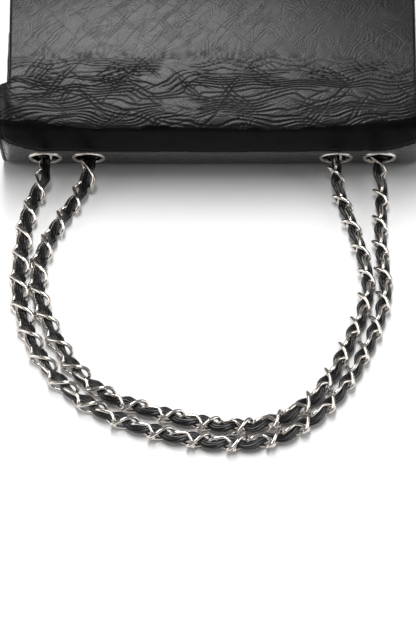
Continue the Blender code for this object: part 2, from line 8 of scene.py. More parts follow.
import bmesh
import bpy
import mathutils
import numpy as np
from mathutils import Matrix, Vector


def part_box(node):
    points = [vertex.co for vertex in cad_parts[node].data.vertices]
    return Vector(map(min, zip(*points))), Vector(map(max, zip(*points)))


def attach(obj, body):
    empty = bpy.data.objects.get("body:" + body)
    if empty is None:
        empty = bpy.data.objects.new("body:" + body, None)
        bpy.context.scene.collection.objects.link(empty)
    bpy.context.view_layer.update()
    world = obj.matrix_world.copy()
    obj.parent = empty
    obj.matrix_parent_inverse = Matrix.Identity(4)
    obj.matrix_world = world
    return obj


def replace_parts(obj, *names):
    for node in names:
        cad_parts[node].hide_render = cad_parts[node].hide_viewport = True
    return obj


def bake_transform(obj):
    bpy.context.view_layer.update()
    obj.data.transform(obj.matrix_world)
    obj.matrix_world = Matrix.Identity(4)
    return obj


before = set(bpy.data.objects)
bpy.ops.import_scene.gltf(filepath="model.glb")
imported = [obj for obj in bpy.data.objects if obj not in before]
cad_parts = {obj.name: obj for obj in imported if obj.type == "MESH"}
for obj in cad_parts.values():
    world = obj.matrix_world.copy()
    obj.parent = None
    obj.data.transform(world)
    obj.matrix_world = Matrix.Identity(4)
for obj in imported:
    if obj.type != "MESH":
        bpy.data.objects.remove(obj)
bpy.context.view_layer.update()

bl_info = {
    "name": "Flap bag with laced chain straps",
    "version": (1, 0, 0),
    "blender": (4, 5, 0),
    "location": "3D View > Sidebar > Flap bag",
    "description": "Builds the leather, straps, eyelets and inside of a flap bag round its frame",
    "category": "Add Mesh",
}

MM = 0.001
UP = np.array([0.0, 0.0, 1.0])
QUARTER = math.radians(90)
SIDES = ((-1, "left"), (1, "right"))

# Section of the body: normal angles are above the horizon, facing the top of the bag (-Y)
BAG_HEIGHT = 190 * MM
BACK_CURVE_RADIUS = 15 * MM
STRIP_WIDTH = 26 * MM
ROLL_RADIUS = 31 * MM
CROWN_RADIUS = 360 * MM
BASE_RADIUS = 20 * MM
STRIP_LEAN = math.radians(31.5)
NOTCH_ANGLE = math.radians(70)
FRONT_INSET = 4.2 * MM
SIDE_SPREAD = 0.033
ROLL_CENTRE_Y = ROLL_RADIUS - BAG_HEIGHT / 2
ROLL_CENTRE_Z = 45.545 * MM
NOTCH_Y = ROLL_CENTRE_Y - ROLL_RADIUS * math.cos(NOTCH_ANGLE)
NOTCH_Z = ROLL_CENTRE_Z + ROLL_RADIUS * math.sin(NOTCH_ANGLE)
CROWN_Y = NOTCH_Y + CROWN_RADIUS * math.cos(NOTCH_ANGLE)
CROWN_Z = NOTCH_Z - CROWN_RADIUS * math.sin(NOTCH_ANGLE)
STRIP_NORMAL = np.array([0.0, -math.cos(STRIP_LEAN), -math.sin(STRIP_LEAN)])
STRIP_DOWN = np.array([0.0, math.sin(STRIP_LEAN), -math.cos(STRIP_LEAN)])
STRIP_CENTRE = np.array([0.0, -83.639, 18.247]) * MM

# Sides, mouth and piping of the body
BODY_HALF = 136.6 * MM
SIDE_LEAN = math.radians(3.9)
MOUTH_LENGTH = 50 * MM
GUSSET_WALL = 1.2 * MM
LINING_WALL = 0.8 * MM
PIPING_HALF = 138.35 * MM
PIPING_RADIUS = 1.55 * MM
PIPING_LIFT = 1.6 * MM
PIPING_SIDES = 12

# The body's leather: how it falls at its side edges, how full the base is round its middle height,
# and where it lies free of the table and lower under the flap
BODY_FALL = 1.6 * MM
BODY_FALL_FROM = 0.95
BASE_PUFF = 2.2 * MM
BASE_PUFF_AT = 45 * MM
BASE_PUFF_WIDTH = 22 * MM
BASE_FROM = 80 * MM
FREE_OF_TABLE = (0.5 * MM, 8 * MM)
UNDER_FLAP = (60 * MM, 72 * MM)
UNDER_FLAP_DROP = 0.5 * MM
UNDER_FLAP_TO = 90 * MM

# How the sides are drawn in: a soft curve, a sharper fold along the middle and two puffs beside it,
# which need room and die out towards the base, and how far they keep in under the round top. Widths
# and places across are shares of the way.
SIDE_DRAW = 2.0 * MM
SIDE_FOLD = 1.5 * MM
SIDE_FOLD_WIDTH = 0.06
SIDE_PUFF = 0.9 * MM
SIDE_PUFF_WIDTH = 0.1
SIDE_PUFFS_AT = (0.16, 0.84)
SIDE_ROOM = 70 * MM
SIDE_ENDS = (56 * MM, 90 * MM)
SIDE_UNDER_TOP = 3.0 * MM

# Top leather. Across, its columns are even out to LEATHER_CORE, and those beyond are drawn to the
# edge. Along, its rows are closest at the notches, where their places are in mm, and over the front
# of the round top.
LEATHER_HALF = 132 * MM
LEATHER_CORE = 118 * MM
FINE_ROWS_FROM = -60 * MM
FRONT_ROWS_FROM = -38 * MM
NOTCH_ROWS = (-4, 2, 0.4)
FLAP_ROWS_FROM = 18 * MM
END_ROWS = 15 * MM

# Its shape over the section: fuller in the middle, falling at its edges and more so at the ends of
# the round top's fold, drawn in at the strip's border, and sagging above the eyelets
FULL_HALF = 134 * MM
EDGE_FALL = 2.6 * MM
EDGE_WIDTH = 7 * MM
CORNER_FALL = 1.6 * MM
CORNER_FROM = (-54 * MM, -38 * MM)
CORNER_TO = (4 * MM, 24 * MM)
CORNER_WIDTH = 15 * MM
BORDER_PULL = 0.7 * MM
BORDER_WIDTH = 7 * MM
SAG_DEPTH = 1.5 * MM
SAG_AT = -66 * MM
SAG_WIDTH = 20 * MM
SAG_HALF = 140 * MM

# Eyelets
EYELET_RADIUS = 11.3 * MM
EYELET_HOLE_RADIUS = 8.6 * MM
EYELET_HOLE_MARGIN = 1.1 * MM
EYELET_RIM_HEIGHT = 1.6 * MM
EYELET_BARREL_WALL = 0.7 * MM
EYELET_BARREL_DEPTH = 4 * MM
EYELET_X = {"outer_left": -110.2 * MM, "inner_left": -81.6 * MM,
            "inner_right": 81.6 * MM, "outer_right": 110.2 * MM}

# Straps: routes over the table from left eyelet to right eyelet, as in the frame
STRAP_LEAD = 4 * MM
STRAP_START = 0.4 * MM
STRAP_DROP = 3.5 * MM
INSIDE_DEPTH = 17 * MM
OUTER_ROUTE = [
    (-111.5, -93.0, 10.3), (-116.0, -106.0, 6.0), (-120.5, -124.0, 5.0), (-122.5, -150.0, 5.0),
    (-123.5, -175.0, 5.0), (-123.0, -197.0, 5.0), (-118.0, -222.5, 5.0), (-109.0, -248.5, 5.0),
    (-94.0, -274.5, 5.0), (-72.5, -296.0, 5.0), (-45.0, -312.0, 5.0), (-16.0, -321.5, 5.0),
    (14.0, -325.5, 5.0), (40.5, -320.0, 5.0), (63.0, -302.5, 5.0), (79.5, -280.0, 5.0),
    (93.0, -252.5, 5.0), (103.0, -225.0, 5.0), (109.5, -198.0, 5.0), (109.5, -174.0, 5.0),
    (109.0, -150.0, 5.0), (110.5, -126.0, 5.0), (112.0, -106.0, 6.0), (110.8, -93.0, 10.3),
]
INNER_ROUTE = [
    (-82.8, -93.0, 10.3), (-88.0, -106.0, 6.0), (-96.5, -125.0, 5.0), (-105.5, -148.0, 5.0),
    (-111.0, -171.0, 5.0), (-111.0, -195.0, 5.0), (-105.0, -219.5, 5.0), (-95.5, -244.0, 5.0),
    (-82.5, -268.0, 5.0), (-63.0, -287.5, 5.0), (-38.5, -299.0, 5.0), (-10.5, -308.0, 5.0),
    (16.0, -312.0, 5.0), (40.0, -306.0, 5.0), (59.5, -290.0, 5.0), (74.0, -267.0, 5.0),
    (85.0, -240.5, 5.0), (94.5, -214.5, 5.0), (99.0, -190.0, 5.0), (97.0, -166.0, 5.0),
    (92.5, -142.0, 5.0), (87.5, -120.5, 5.0), (84.0, -105.5, 6.2), (82.5, -93.0, 10.3),
]

# One repeat of the chain, in mm along the strap, to its left, and up. The strap lies rolled a
# little differently where it runs away from the bag, across, and back, so each of its two links
# has three shapes of matching points.
CHAIN_REPEAT = 23.2 * MM
OUTER_LINKS = ((0, 18.7), (4, 110.2), (7, 179.6), (9, 230.4), (12, 301.8), (16, 394.6), (20, 487.0),
               (23, 558.0), (25, 608.3))
INNER_LINKS = ((0, 29.4), (2, 76.9), (5, 146.0), (7, 193.6), (9, 242.7), (11, 290.3), (13, 332.8),
               (15, 379.8), (17, 427.6), (19, 473.0), (22, 543.3), (24, 589.2))
INSIDE_LINKS = ((0, 5.0), (2, 51.0))
CROSS_LINK = np.array([
    [(-6.4, -4.9, -0.7), (-5.6, -4.9, 0.6), (-3.9, -3.6, 2.2), (-1.7, -2.0, 3.0), (2.0, 0.8, 3.8),
     (5.2, 3.5, 3.7), (7.4, 5.6, 2.8), (10.0, 6.2, 1.4), (12.0, 5.7, 0.1), (13.0, 4.4, -1.4),
     (10.8, 2.7, -3.2), (6.2, 0.4, -3.7), (1.0, -2.2, -3.6), (-3.6, -4.2, -2.6)],
    [(-5.3, -3.0, -0.9), (-5.2, -3.9, 0.9), (-4.0, -4.4, 1.6), (-2.2, -3.2, 2.6), (-0.2, -1.0, 3.7),
     (2.0, 1.8, 3.9), (4.2, 4.2, 3.3), (5.6, 5.4, 2.0), (6.6, 5.4, 0.4), (6.4, 4.4, -1.4),
     (5.0, 3.4, -2.8), (2.6, 2.2, -3.6), (-0.8, 0.4, -3.6), (-3.8, -1.4, -2.6)],
    [(-5.8, -1.6, -0.9), (-5.6, -2.6, 0.2), (-4.4, -3.1, 1.2), (-2.8, -2.7, 2.3), (0.7, -0.7, 3.7),
     (3.5, 2.0, 3.9), (6.0, 4.4, 3.2), (7.8, 5.8, 1.9), (8.8, 5.8, 0.4), (8.8, 4.6, -1.4),
     (7.2, 3.0, -2.9), (4.2, 1.2, -3.7), (0.6, -0.2, -3.7), (-3.4, -0.9, -2.7)]]) * MM
LONG_LINK = np.array([
    [(0.2, -1.2, 0.6), (1.6, -2.2, 1.0), (5.2, -3.0, 1.2), (9.8, -3.0, 1.4), (13.2, -2.7, 1.6),
     (15.0, -3.4, 1.2), (16.0, -4.3, 0.2), (15.8, -4.2, -1.4), (14.0, -3.2, -2.8),
     (10.6, -2.2, -3.5), (6.0, -1.2, -3.5), (2.2, -0.4, -2.6), (0.2, -0.4, -0.8)],
    [(6.4, 1.6, -0.2), (7.2, 1.4, 1.8), (9.0, 1.9, 3.3), (12.5, 2.8, 3.6), (16.0, 3.5, 3.5),
     (18.4, 2.2, 3.0), (20.4, 0.2, 2.0), (22.0, -1.6, 0.6), (22.4, -2.2, -1.2),
     (20.6, -0.8, -3.0), (16.6, 1.4, -3.6), (12.0, 2.6, -3.4), (8.4, 2.4, -2.4)],
    [(4.2, 3.2, 0.0), (4.8, 2.4, 2.0), (6.3, 1.0, 3.2), (10.4, 0.5, 3.6), (15.0, 0.9, 3.5),
     (17.8, 0.4, 3.0), (20.2, -1.4, 2.0), (22.2, -2.8, 0.6), (22.8, -3.2, -1.0),
     (21.0, -2.6, -2.8), (16.4, -0.9, -3.6), (10.6, 0.9, -3.6), (6.2, 2.6, -2.4)]]) * MM
# The lace's thin cords round its middle, and for the same three lays how far to the left its
# middle lies and how far it swings
LACE_CORDS = np.array([(-1.5, 1.3), (0.0, 1.45), (1.5, 1.3), (-2.3, 0.0), (-0.8, 0.1), (0.8, 0.1),
                       (2.3, 0.0), (-1.5, -1.3), (0.0, -1.35), (1.5, -1.3)]) * MM
LACE_MIDDLE = np.array([1.1, 1.6, 0.6]) * MM
LACE_SWING = np.array([1.1, 2.0, 1.2]) * MM
SWING_AT = 20 * MM

# Camera that takes the photograph's view, and the studio. Each soft box has a name, a place, a size,
# a radiance, and what it faces, or nothing where it faces down.
SENSOR_WIDTH = 36.0
FOCAL_PIXELS = 2400
PICTURE_HEIGHT = 624
CAMERA_PLACE = (-0.0029, -1.2672, 1.0764)
CAMERA_TILT = math.radians(44.5)
TABLE_HALF = 6.0
TABLE_DROP = 0.2 * MM
SKY_STRENGTH = 0.2
LAMPS = (
    ("top light", (-0.22, 0.35, 3.0), (0.66, 3.3), 12.7, None),
    ("left light", (-2.0, -0.3, 0.9), (1.2, 1.6), 2.0, (0, -0.15, 0)),
    ("right light", (2.0, -0.3, 0.9), (1.2, 1.6), 2.0, (0, -0.15, 0)),
)


# Meshes

def grid_faces(rows, columns, ring=False):
    """Corner numbers of the quads of a grid of points kept row after row; a ring joins each
    row's last column to its first."""
    across = columns if ring else columns - 1
    r, c = np.meshgrid(np.arange(rows - 1), np.arange(across), indexing="ij")
    n = (c + 1) % columns
    quads = [r * columns + c, r * columns + n, (r + 1) * columns + n, (r + 1) * columns + c]
    return np.stack(quads, -1).reshape(-1, 4)


def grid_points(across, y, z):
    """Points of a grid from its distances across, which have its shape, and its Y and Z."""
    return np.stack([across, y + 0 * across, z + 0 * across], -1)


def unit(vectors):
    """Each vector divided by its length."""
    return vectors / np.maximum(np.linalg.norm(vectors, axis=-1, keepdims=True), 1e-12)


def put_mesh(name, points, faces, material, surface_map=None):
    """A smooth-shaded mesh object from points and lists of corner numbers. The surface map gives
    each point its distance across and along the leather, in metres."""
    mesh = bpy.data.meshes.new(name)
    mesh.from_pydata(points.reshape(-1, 3).tolist(), [], [list(map(int, f)) for f in faces])
    mesh.validate()
    if surface_map is not None:
        layer = mesh.uv_layers.new(name="surface")
        corners = np.empty(len(mesh.loops), np.int32)
        mesh.loops.foreach_get("vertex_index", corners)
        layer.data.foreach_set("uv", surface_map[corners].astype(np.float32).ravel())
    mesh.shade_smooth()
    mesh.materials.append(material)
    piece = bpy.data.objects.new(name, mesh)
    bpy.context.scene.collection.objects.link(piece)
    return piece


def close_seams(piece, gap=0.001 * MM):
    """Points closer than the gap become one, and all faces are turned outwards."""
    shape = bmesh.new()
    shape.from_mesh(piece.data)
    bmesh.ops.remove_doubles(shape, verts=shape.verts, dist=gap)
    bmesh.ops.recalc_face_normals(shape, faces=shape.faces)
    shape.to_mesh(piece.data)
    shape.free()
    piece.data.shade_smooth()


def tubes(lines, radius, sides, ups, closed):
    """Round tubes along many lines of points at once: at each point a circle of the radius,
    square to the line, measured from the up direction made square to it."""
    if closed:
        along = np.roll(lines, -1, axis=1) - np.roll(lines, 1, axis=1)
    else:
        along = np.gradient(lines, axis=1)
    along = unit(along)
    side = unit(ups - (ups * along).sum(-1, keepdims=True) * along)
    other = np.cross(along, side)
    turn = np.arange(sides) * 2 * math.pi / sides
    ring = side[:, :, None] * np.cos(turn)[:, None] + other[:, :, None] * np.sin(turn)[:, None]
    points = lines[:, :, None] + ring * radius
    count, rings = lines.shape[:2]
    each = rings * sides
    quads = grid_faces(rings + 1 if closed else rings, sides, ring=True) % each
    faces = (quads[None] + (np.arange(count) * each)[:, None, None]).reshape(-1, 4).tolist()
    if not closed:
        first = np.arange(sides)
        for index in range(count):
            faces.append((index * each + first[::-1]).tolist())
            faces.append((index * each + (rings - 1) * sides + first).tolist())
    return points.reshape(-1, 3), faces


def curve_through(points, steps, closed=False):
    """A centripetal curve through the points: between each two, three rounds of straight blends
    of four neighbours, timed by the square roots of their distances."""
    points = np.asarray(points, float)
    if closed:
        ring = [np.roll(points, shift, axis=0) for shift in (1, 0, -1, -2)]
    else:
        full = np.concatenate([[2 * points[0] - points[1]], points, [2 * points[-1] - points[-2]]])
        ring = [full[start:len(full) - 3 + start] for start in range(4)]
    a, b, c, d = [part[:, None] for part in ring]

    def gap(p, q):
        return np.sqrt(np.linalg.norm(q - p, axis=-1, keepdims=True))

    t1 = gap(a, b)
    t2 = t1 + gap(b, c)
    t3 = t2 + gap(c, d)
    t = t1 + (t2 - t1) * (np.arange(steps) / steps)[None, :, None]
    a1 = a * (t1 - t) / t1 + b * t / t1
    a2 = b * (t2 - t) / (t2 - t1) + c * (t - t1) / (t2 - t1)
    a3 = c * (t3 - t) / (t3 - t2) + d * (t - t2) / (t3 - t2)
    b1 = a1 * (t2 - t) / t2 + a2 * t / t2
    b2 = a2 * (t3 - t) / (t3 - t1) + a3 * (t - t1) / (t3 - t1)
    line = (b1 * (t2 - t) / (t2 - t1) + b2 * (t - t1) / (t2 - t1)).reshape(-1, points.shape[1])
    return line if closed else np.concatenate([line, points[-1:]])


def travelled(line):
    """Distance along a line of points, from its first one."""
    return np.concatenate([[0.0], np.cumsum(np.linalg.norm(np.diff(line, axis=0), axis=1))])


def read_columns(table, along, wanted):
    """Each column of the table, known at distances along it, read at the wanted distances."""
    return np.stack([np.interp(wanted, along, column) for column in table.T], -1)


def evenly(line, step):
    """The line again with evenly spaced points."""
    along = travelled(line)
    count = max(2, math.ceil(along[-1] / step) + 1)
    return read_columns(line, along, np.linspace(0, along[-1], count))


def evenly_round(ring, count):
    """A closed line again with evenly spaced points."""
    closed = np.concatenate([ring, ring[:1]])
    along = travelled(closed)
    return read_columns(closed, along, np.linspace(0, along[-1], count + 1)[:-1])


# Noise and creases

NOISE_GRID = 256


def smooth_noise(x, y, seed):
    """Gradient noise from -1 to 1: at each corner of a unit grid a random slope, and between the
    corners a blend of the four slopes that eases in and out."""
    slopes = np.random.default_rng(seed).uniform(0, 2 * math.pi, (NOISE_GRID, NOISE_GRID))
    x0, y0 = np.floor(x).astype(int), np.floor(y).astype(int)
    fx, fy = x - x0, y - y0

    def corner(dx, dy):
        turn = slopes[(x0 + dx) % NOISE_GRID, (y0 + dy) % NOISE_GRID]
        return np.cos(turn) * (fx - dx) + np.sin(turn) * (fy - dy)

    u, v = fx ** 3 * (fx * (6 * fx - 15) + 10), fy ** 3 * (fy * (6 * fy - 15) + 10)
    low = corner(0, 0) * (1 - u) + corner(1, 0) * u
    high = corner(0, 1) * (1 - u) + corner(1, 1) * u
    return (low * (1 - v) + high * v) * 1.5


def waves(x, y, height, wide, long, seed, shift=0.0):
    """Soft waves of a height, each about as wide and as long as stated, all three in mm. The shift
    moves the pattern along by its number of waves."""
    return height * MM * smooth_noise(x / (wide * MM), y / (long * MM) + shift, seed)


def bell(value, middle, width):
    """A bell curve: 1 at the middle, and about a third at the width from it."""
    return np.exp(-((value - middle) / width) ** 2)


def eased(value, low, high):
    """0 below low, 1 above high, and an S curve between."""
    t = np.clip((value - low) / (high - low), 0, 1)
    return t * t * (3 - 2 * t)


def crease_bundles(across, along, angle, length, spacing, wave, cut, seed):
    """Bundles of long fine creases that run side by side: evenly spaced lines across the angle,
    bent by noise that is stretched along it, and kept only in long patches where another
    stretched noise is high. Each is a bell valley of one width, because the way to its line is
    divided by how fast the bent distance grows. 0 on the flats, 1 at the bottom of a crease."""
    c, s = math.cos(angle), math.sin(angle)
    run, step = c * across + s * along, c * along - s * across

    def bent(run, step):
        slow = smooth_noise(run / (0.8 * length), step / (6 * spacing), seed)
        quick = smooth_noise(run / (0.2 * length), step / (3 * spacing), seed + 1)
        return step + spacing * (wave * slow + 0.14 * quick)

    way, small = bent(run, step), 0.05 * MM
    growth = np.hypot(bent(run + small, step) - way, bent(run, step + small) - way) / small
    off = np.abs(way / spacing - np.round(way / spacing)) * spacing / np.maximum(growth, 0.3)
    patch = eased(smooth_noise(run / length, way / (3 * spacing), seed + 2), cut, cut + 0.3)
    return bell(off, 0, CREASE_WIDTH) * patch


# Creases that the mesh carries: angle from the leather's width, length, spacing, how far they
# wave in spacings, where they start to show, depth on the flap and over the round top
CREASE_WIDTH = 0.46 * MM
CREASES = (
    (math.radians(2), 40 * MM, 2.5 * MM, 2.6, -0.45, 0.0, 0.3),
    (math.radians(-16), 40 * MM, 2.6 * MM, 2.0, 0.07, 0.0, 0.28),
    (math.radians(20), 40 * MM, 2.6 * MM, 2.0, 0.1, 0.03, 0.28),
    (math.radians(50), 44 * MM, 2.7 * MM, 1.2, 0.28, 0.05, 0.26),
    (math.radians(-40), 40 * MM, 2.7 * MM, 1.2, 0.28, 0.04, 0.26),
)
FOLD_AT = (-32.5 * MM, -29.5 * MM)
TOP_CREASES_TO = (4 * MM, 30 * MM)
STRIP_FROM = -62.5 * MM
FOLD_RISE = 5 * MM
FOLD_RISE_AT = (70 * MM, 128 * MM)
STRIP_PULL = 12 * MM
STRIP_PULL_FROM = 112 * MM
STRIP_PULL_OVER = 24 * MM


def crease_shares(across, along):
    """How much of three finishes holds at places of the leather: the deep creases of the round top,
    any crease at all above its fold, and the strip below the smooth band. The fold runs a little
    higher at both ends, and so does the strip's border, which ends in a slanting pull."""
    ends = FOLD_RISE * eased(np.abs(across + 4 * MM), *FOLD_RISE_AT)
    wander = waves(across, along, 1.8, 13, 60, 5)
    below = eased(along - ends + wander, *FOLD_AT)
    over_top = below * (1 - eased(along + wander, *TOP_CREASES_TO))
    return over_top, below, strip_share(across, along, 4 * MM)


def strip_share(across, along, width):
    """1 on the strip below the smooth band and 0 above it, changing over the width."""
    pull = STRIP_PULL * np.clip((np.abs(across) - STRIP_PULL_FROM) / STRIP_PULL_OVER, 0, 1)
    wander = waves(across, along, 1.6, 22, 80, 6)
    return 1 - eased(along - pull + wander, STRIP_FROM, STRIP_FROM + width)


def crease_depth(across, along, over_top, below):
    """The deepest of the creases at each point, in mm: shallow on the flap, deep over the front of
    the round top, and none below its fold."""
    deepest = 0 * across
    for index, (angle, length, spacing, wave, cut, flat, deep) in enumerate(CREASES):
        lines = crease_bundles(across, along, angle, length, spacing, wave, cut, 11 + 10 * index)
        deepest = np.maximum(deepest, lines * (flat * below + (deep - flat) * over_top))
    return deepest * (1 + 0.8 * eased(-along, 10 * MM, 24 * MM))


def crinkle(across, along):
    """Height of the crinkled leather over its smooth surface: wide soft swells less the creases."""
    over_top, below = crease_shares(across, along)[:2]
    return waves(across, along, 0.07, 38, 26, 3) - MM * crease_depth(across, along, over_top, below)


# Section of the body

ROUNDING = 2.2 * MM
ROUNDING_STEPS = 30


def running_sum(values, step):
    """The values' integral over evenly spaced points, by trapezoids, from 0."""
    return np.concatenate([[0], np.cumsum((values[1:] + values[:-1]) / 2 * step)])


def walk(start, angle, pieces, step):
    """Points along a section made of straights and arcs, each (length, radius or None): the
    normal's angle grows by distance over radius, the curve is rounded over a few millimetres
    and its points are the running sums of the sine and cosine of that angle."""
    total = sum(length for length, radius in pieces)
    at = np.arange(0, total + step / 2, step)
    bend = np.zeros_like(at)
    done = 0.0
    for length, radius in pieces:
        if radius:
            bend[(at >= done) & (at < done + length)] = 1 / radius
        done += length
    kernel = bell(np.arange(-ROUNDING_STEPS, ROUNDING_STEPS + 1) * step, 0, ROUNDING)
    bend = np.convolve(np.pad(bend, ROUNDING_STEPS, mode="edge"), kernel / kernel.sum(), mode="valid")
    turn = angle + running_sum(bend, step)
    return at, start[0] + running_sum(np.sin(turn), step), start[1] + running_sum(np.cos(turn), step), turn


CURVE_LENGTH = (QUARTER - STRIP_LEAN) * BACK_CURVE_RADIUS
FLAP_LENGTH = 151.5 * MM
BACK_CURVE_Y = (ROLL_CENTRE_Y - ROLL_RADIUS * math.cos(STRIP_LEAN) + STRIP_WIDTH * math.sin(STRIP_LEAN)
                + BACK_CURVE_RADIUS * math.cos(STRIP_LEAN))
BACK_LEAD = 8 * MM
# The soft leather of the round top lies a little fuller than an even arc between the strip and
# the notches: a gentle curve, a tight fold, and another gentle curve, and fullest in the middle.
# The fold and its angles at the ends and in the middle are chosen, and the gentle radii follow.
FOLD_RADIUS = 3.5 * MM
END_FOLD = (math.radians(-6), math.radians(46))
MIDDLE_FOLD = (math.radians(-16), math.radians(50))


def full_top_arcs(fold):
    """(length, radius) of the three arcs: two equations, for the way along Y and the way up,
    with the two gentle radii as unknowns."""
    ends = [-STRIP_LEAN, *fold, NOTCH_ANGLE]
    ahead = -np.diff(np.cos(ends))
    rise = np.diff(np.sin(ends))
    way = ROLL_RADIUS * np.array([ahead.sum(), rise.sum()])
    gentle = np.linalg.solve([ahead[[0, 2]], rise[[0, 2]]],
                             way - FOLD_RADIUS * np.array([ahead[1], rise[1]]))
    radii = [gentle[0], FOLD_RADIUS, gentle[1]]
    return [(turn * radius, radius) for turn, radius in zip(np.diff(ends), radii)]


def top_walk(fold):
    """The whole section of the top leather with this fold, from the back to the end of the flap."""
    return walk((BACK_CURVE_Y + BACK_LEAD, 0.0), -QUARTER,
                [(BACK_LEAD, None), (CURVE_LENGTH, BACK_CURVE_RADIUS), (STRIP_WIDTH, None)]
                + full_top_arcs(fold) + [(FLAP_LENGTH + 4 * MM, CROWN_RADIUS)], 0.1 * MM)


TOP_LENGTH, MIDDLE_LENGTH = [sum(length for length, radius in full_top_arcs(fold))
                             for fold in (END_FOLD, MIDDLE_FOLD)]
END_TABLE, MIDDLE_TABLE = top_walk(END_FOLD), top_walk(MIDDLE_FOLD)
NOTCH_AT = BACK_LEAD + CURVE_LENGTH + STRIP_WIDTH + TOP_LENGTH
# Where the back curve ends and the eyelets' middles lie, measured from the notch line
TOP_BACK_END = -(CURVE_LENGTH + STRIP_WIDTH + TOP_LENGTH)
EYELET_ALONG = -TOP_LENGTH - STRIP_WIDTH / 2


def top_section(along, table=END_TABLE):
    """(y, z, normal angle) of the top leather's outer face at distances from the notch line,
    minus towards the back and plus towards the end of the flap."""
    at, y, z, turn = table
    return [np.interp(along + NOTCH_AT, at, part) for part in (y, z, turn)]


def middle_section(along):
    """The same at the middle of the width, where the round top is fuller and so a little longer."""
    over_top = np.clip(along + TOP_LENGTH, 0, TOP_LENGTH)
    longer = (MIDDLE_LENGTH - TOP_LENGTH) * over_top / TOP_LENGTH
    return top_section(along + longer, MIDDLE_TABLE)


def outwards(turn):
    """Directions square to the section, away from the bag, at its normal angles."""
    return np.stack([0 * turn, -np.cos(turn), np.sin(turn)], -1)


def moved_in(y, z, turn, inset):
    """Points of the section moved into the bag, square to it."""
    return y + np.cos(turn) * inset, z - np.sin(turn) * inset


def spread_at(y):
    """How far each side has moved out, as the bag widens from the round top to the base."""
    return SIDE_SPREAD * np.maximum(0.0, y - ROLL_CENTRE_Y)


EDGE_TURNS = np.radians([22, 45, 68, 90, 118, 150, 180])[:, None, None]


def rolled_edge(points, normals, outward, radius, tuck):
    """Rows that carry a leather edge round and back under: a half circle of the radius from the
    outward direction to the inside, then a straight tuck."""
    rows = points + radius * (np.sin(EDGE_TURNS) * outward - (1 - np.cos(EDGE_TURNS)) * normals)
    last = rows[-1:] - outward * tuck
    return np.concatenate([rows, last])


def loop_outward(loop, normals):
    """At each point of a closed loop on a surface, the direction away from its inside: the
    loop's own direction crossed with the surface's normal."""
    direction = unit(np.roll(loop, -1, axis=0) - np.roll(loop, 1, axis=0))
    return unit(np.cross(direction, normals))


def border_of(number):
    """The outermost entries of a grid, once round."""
    return np.concatenate([number[0, :-1], number[:-1, -1], number[-1, :0:-1], number[:0:-1, 0]])


def sheet_with_rolled_edge(grid, normals, radius, tuck, flat):
    """A grid of points (rows, columns, 3) whose whole border rolls under. Returns points, faces
    and the surface map, which runs on round the edge."""
    rows, columns = grid.shape[:2]
    number = np.arange(rows * columns).reshape(rows, columns)
    loop = border_of(number)
    within = border_of(np.pad(number[1:-1, 1:-1], 1, mode="edge"))
    points, normal = grid.reshape(-1, 3), normals.reshape(-1, 3)
    outward = loop_outward(points[loop], normal[loop])
    outward = outward * np.sign(np.sum(outward * (points[loop] - points[within])))
    rolled = rolled_edge(points[loop], normal[loop], outward, radius, tuck)
    size = len(loop)
    start = rows * columns + np.arange(len(rolled) * size).reshape(-1, size)
    rings = np.concatenate([loop[None], start])
    following = np.roll(rings, -1, axis=1)
    edge = np.stack([rings[:-1], rings[1:], following[1:], following[:-1]], -1).reshape(-1, 4)
    faces = np.concatenate([grid_faces(rows, columns), edge])
    flat = flat.reshape(-1, 2)
    middle = flat[loop].mean(0)
    away = unit(flat[loop] - middle)
    steps = np.arange(1, len(rolled) + 1)[:, None, None] * radius * 0.4
    return (np.concatenate([points, rolled.reshape(-1, 3)]), faces,
            np.concatenate([flat, (flat[loop] + away * steps).reshape(-1, 2)]))


# Materials

def add_node(tree, kind, settings=None, inputs=None):
    """One shader node, with its settings and the values or links of its inputs."""
    item = tree.nodes.new(kind)
    for key, value in (settings or {}).items():
        setattr(item, key, value)
    for key, value in (inputs or {}).items():
        if isinstance(value, bpy.types.NodeSocket):
            tree.links.new(value, item.inputs[key])
        else:
            item.inputs[key].default_value = value
    return item


def maths(tree, operation, first, second=0.0, clamp=False):
    """The output of one Math node."""
    made = add_node(tree, "ShaderNodeMath", {"operation": operation, "use_clamp": clamp},
                    {0: first, 1: second})
    return made.outputs[0]


def plus_product(tree, total, first, second):
    """The output of total plus first times second."""
    return maths(tree, "ADD", total, maths(tree, "MULTIPLY", first, second))


def ramp(tree, value, stops):
    """The colour output of a Color Ramp with the stops (position, grey or colour)."""
    made = add_node(tree, "ShaderNodeValToRGB", None, {0: value})
    elements = made.color_ramp.elements
    while len(elements) < len(stops):
        elements.new(0.5)
    for element, (position, shade) in zip(elements, stops):
        element.position = position
        element.color = shade if isinstance(shade, tuple) else (shade, shade, shade, 1)
    return made.outputs[0]


def new_material(name, colour, roughness, metallic=0.0, specular=0.5):
    """A material with its node tree, its shader and the plain values set on the shader."""
    material = bpy.data.materials.new(name)
    material.use_nodes = True
    material.diffuse_color = (*colour, 1.0)
    shader = material.node_tree.nodes["Principled BSDF"]
    shader.inputs["Base Color"].default_value = (*colour, 1.0)
    shader.inputs["Roughness"].default_value = roughness
    shader.inputs["Metallic"].default_value = metallic
    shader.inputs["Specular IOR Level"].default_value = specular
    return material, material.node_tree, shader


def noise_node(tree, vector, scale, detail=2.0, roughness=0.5, dimensions="3D"):
    """The value of one Noise Texture, from 0 to 1."""
    made = add_node(tree, "ShaderNodeTexNoise", {"noise_dimensions": dimensions},
                    {"Vector": vector, "Scale": scale, "Detail": detail, "Roughness": roughness})
    return made.outputs[0]


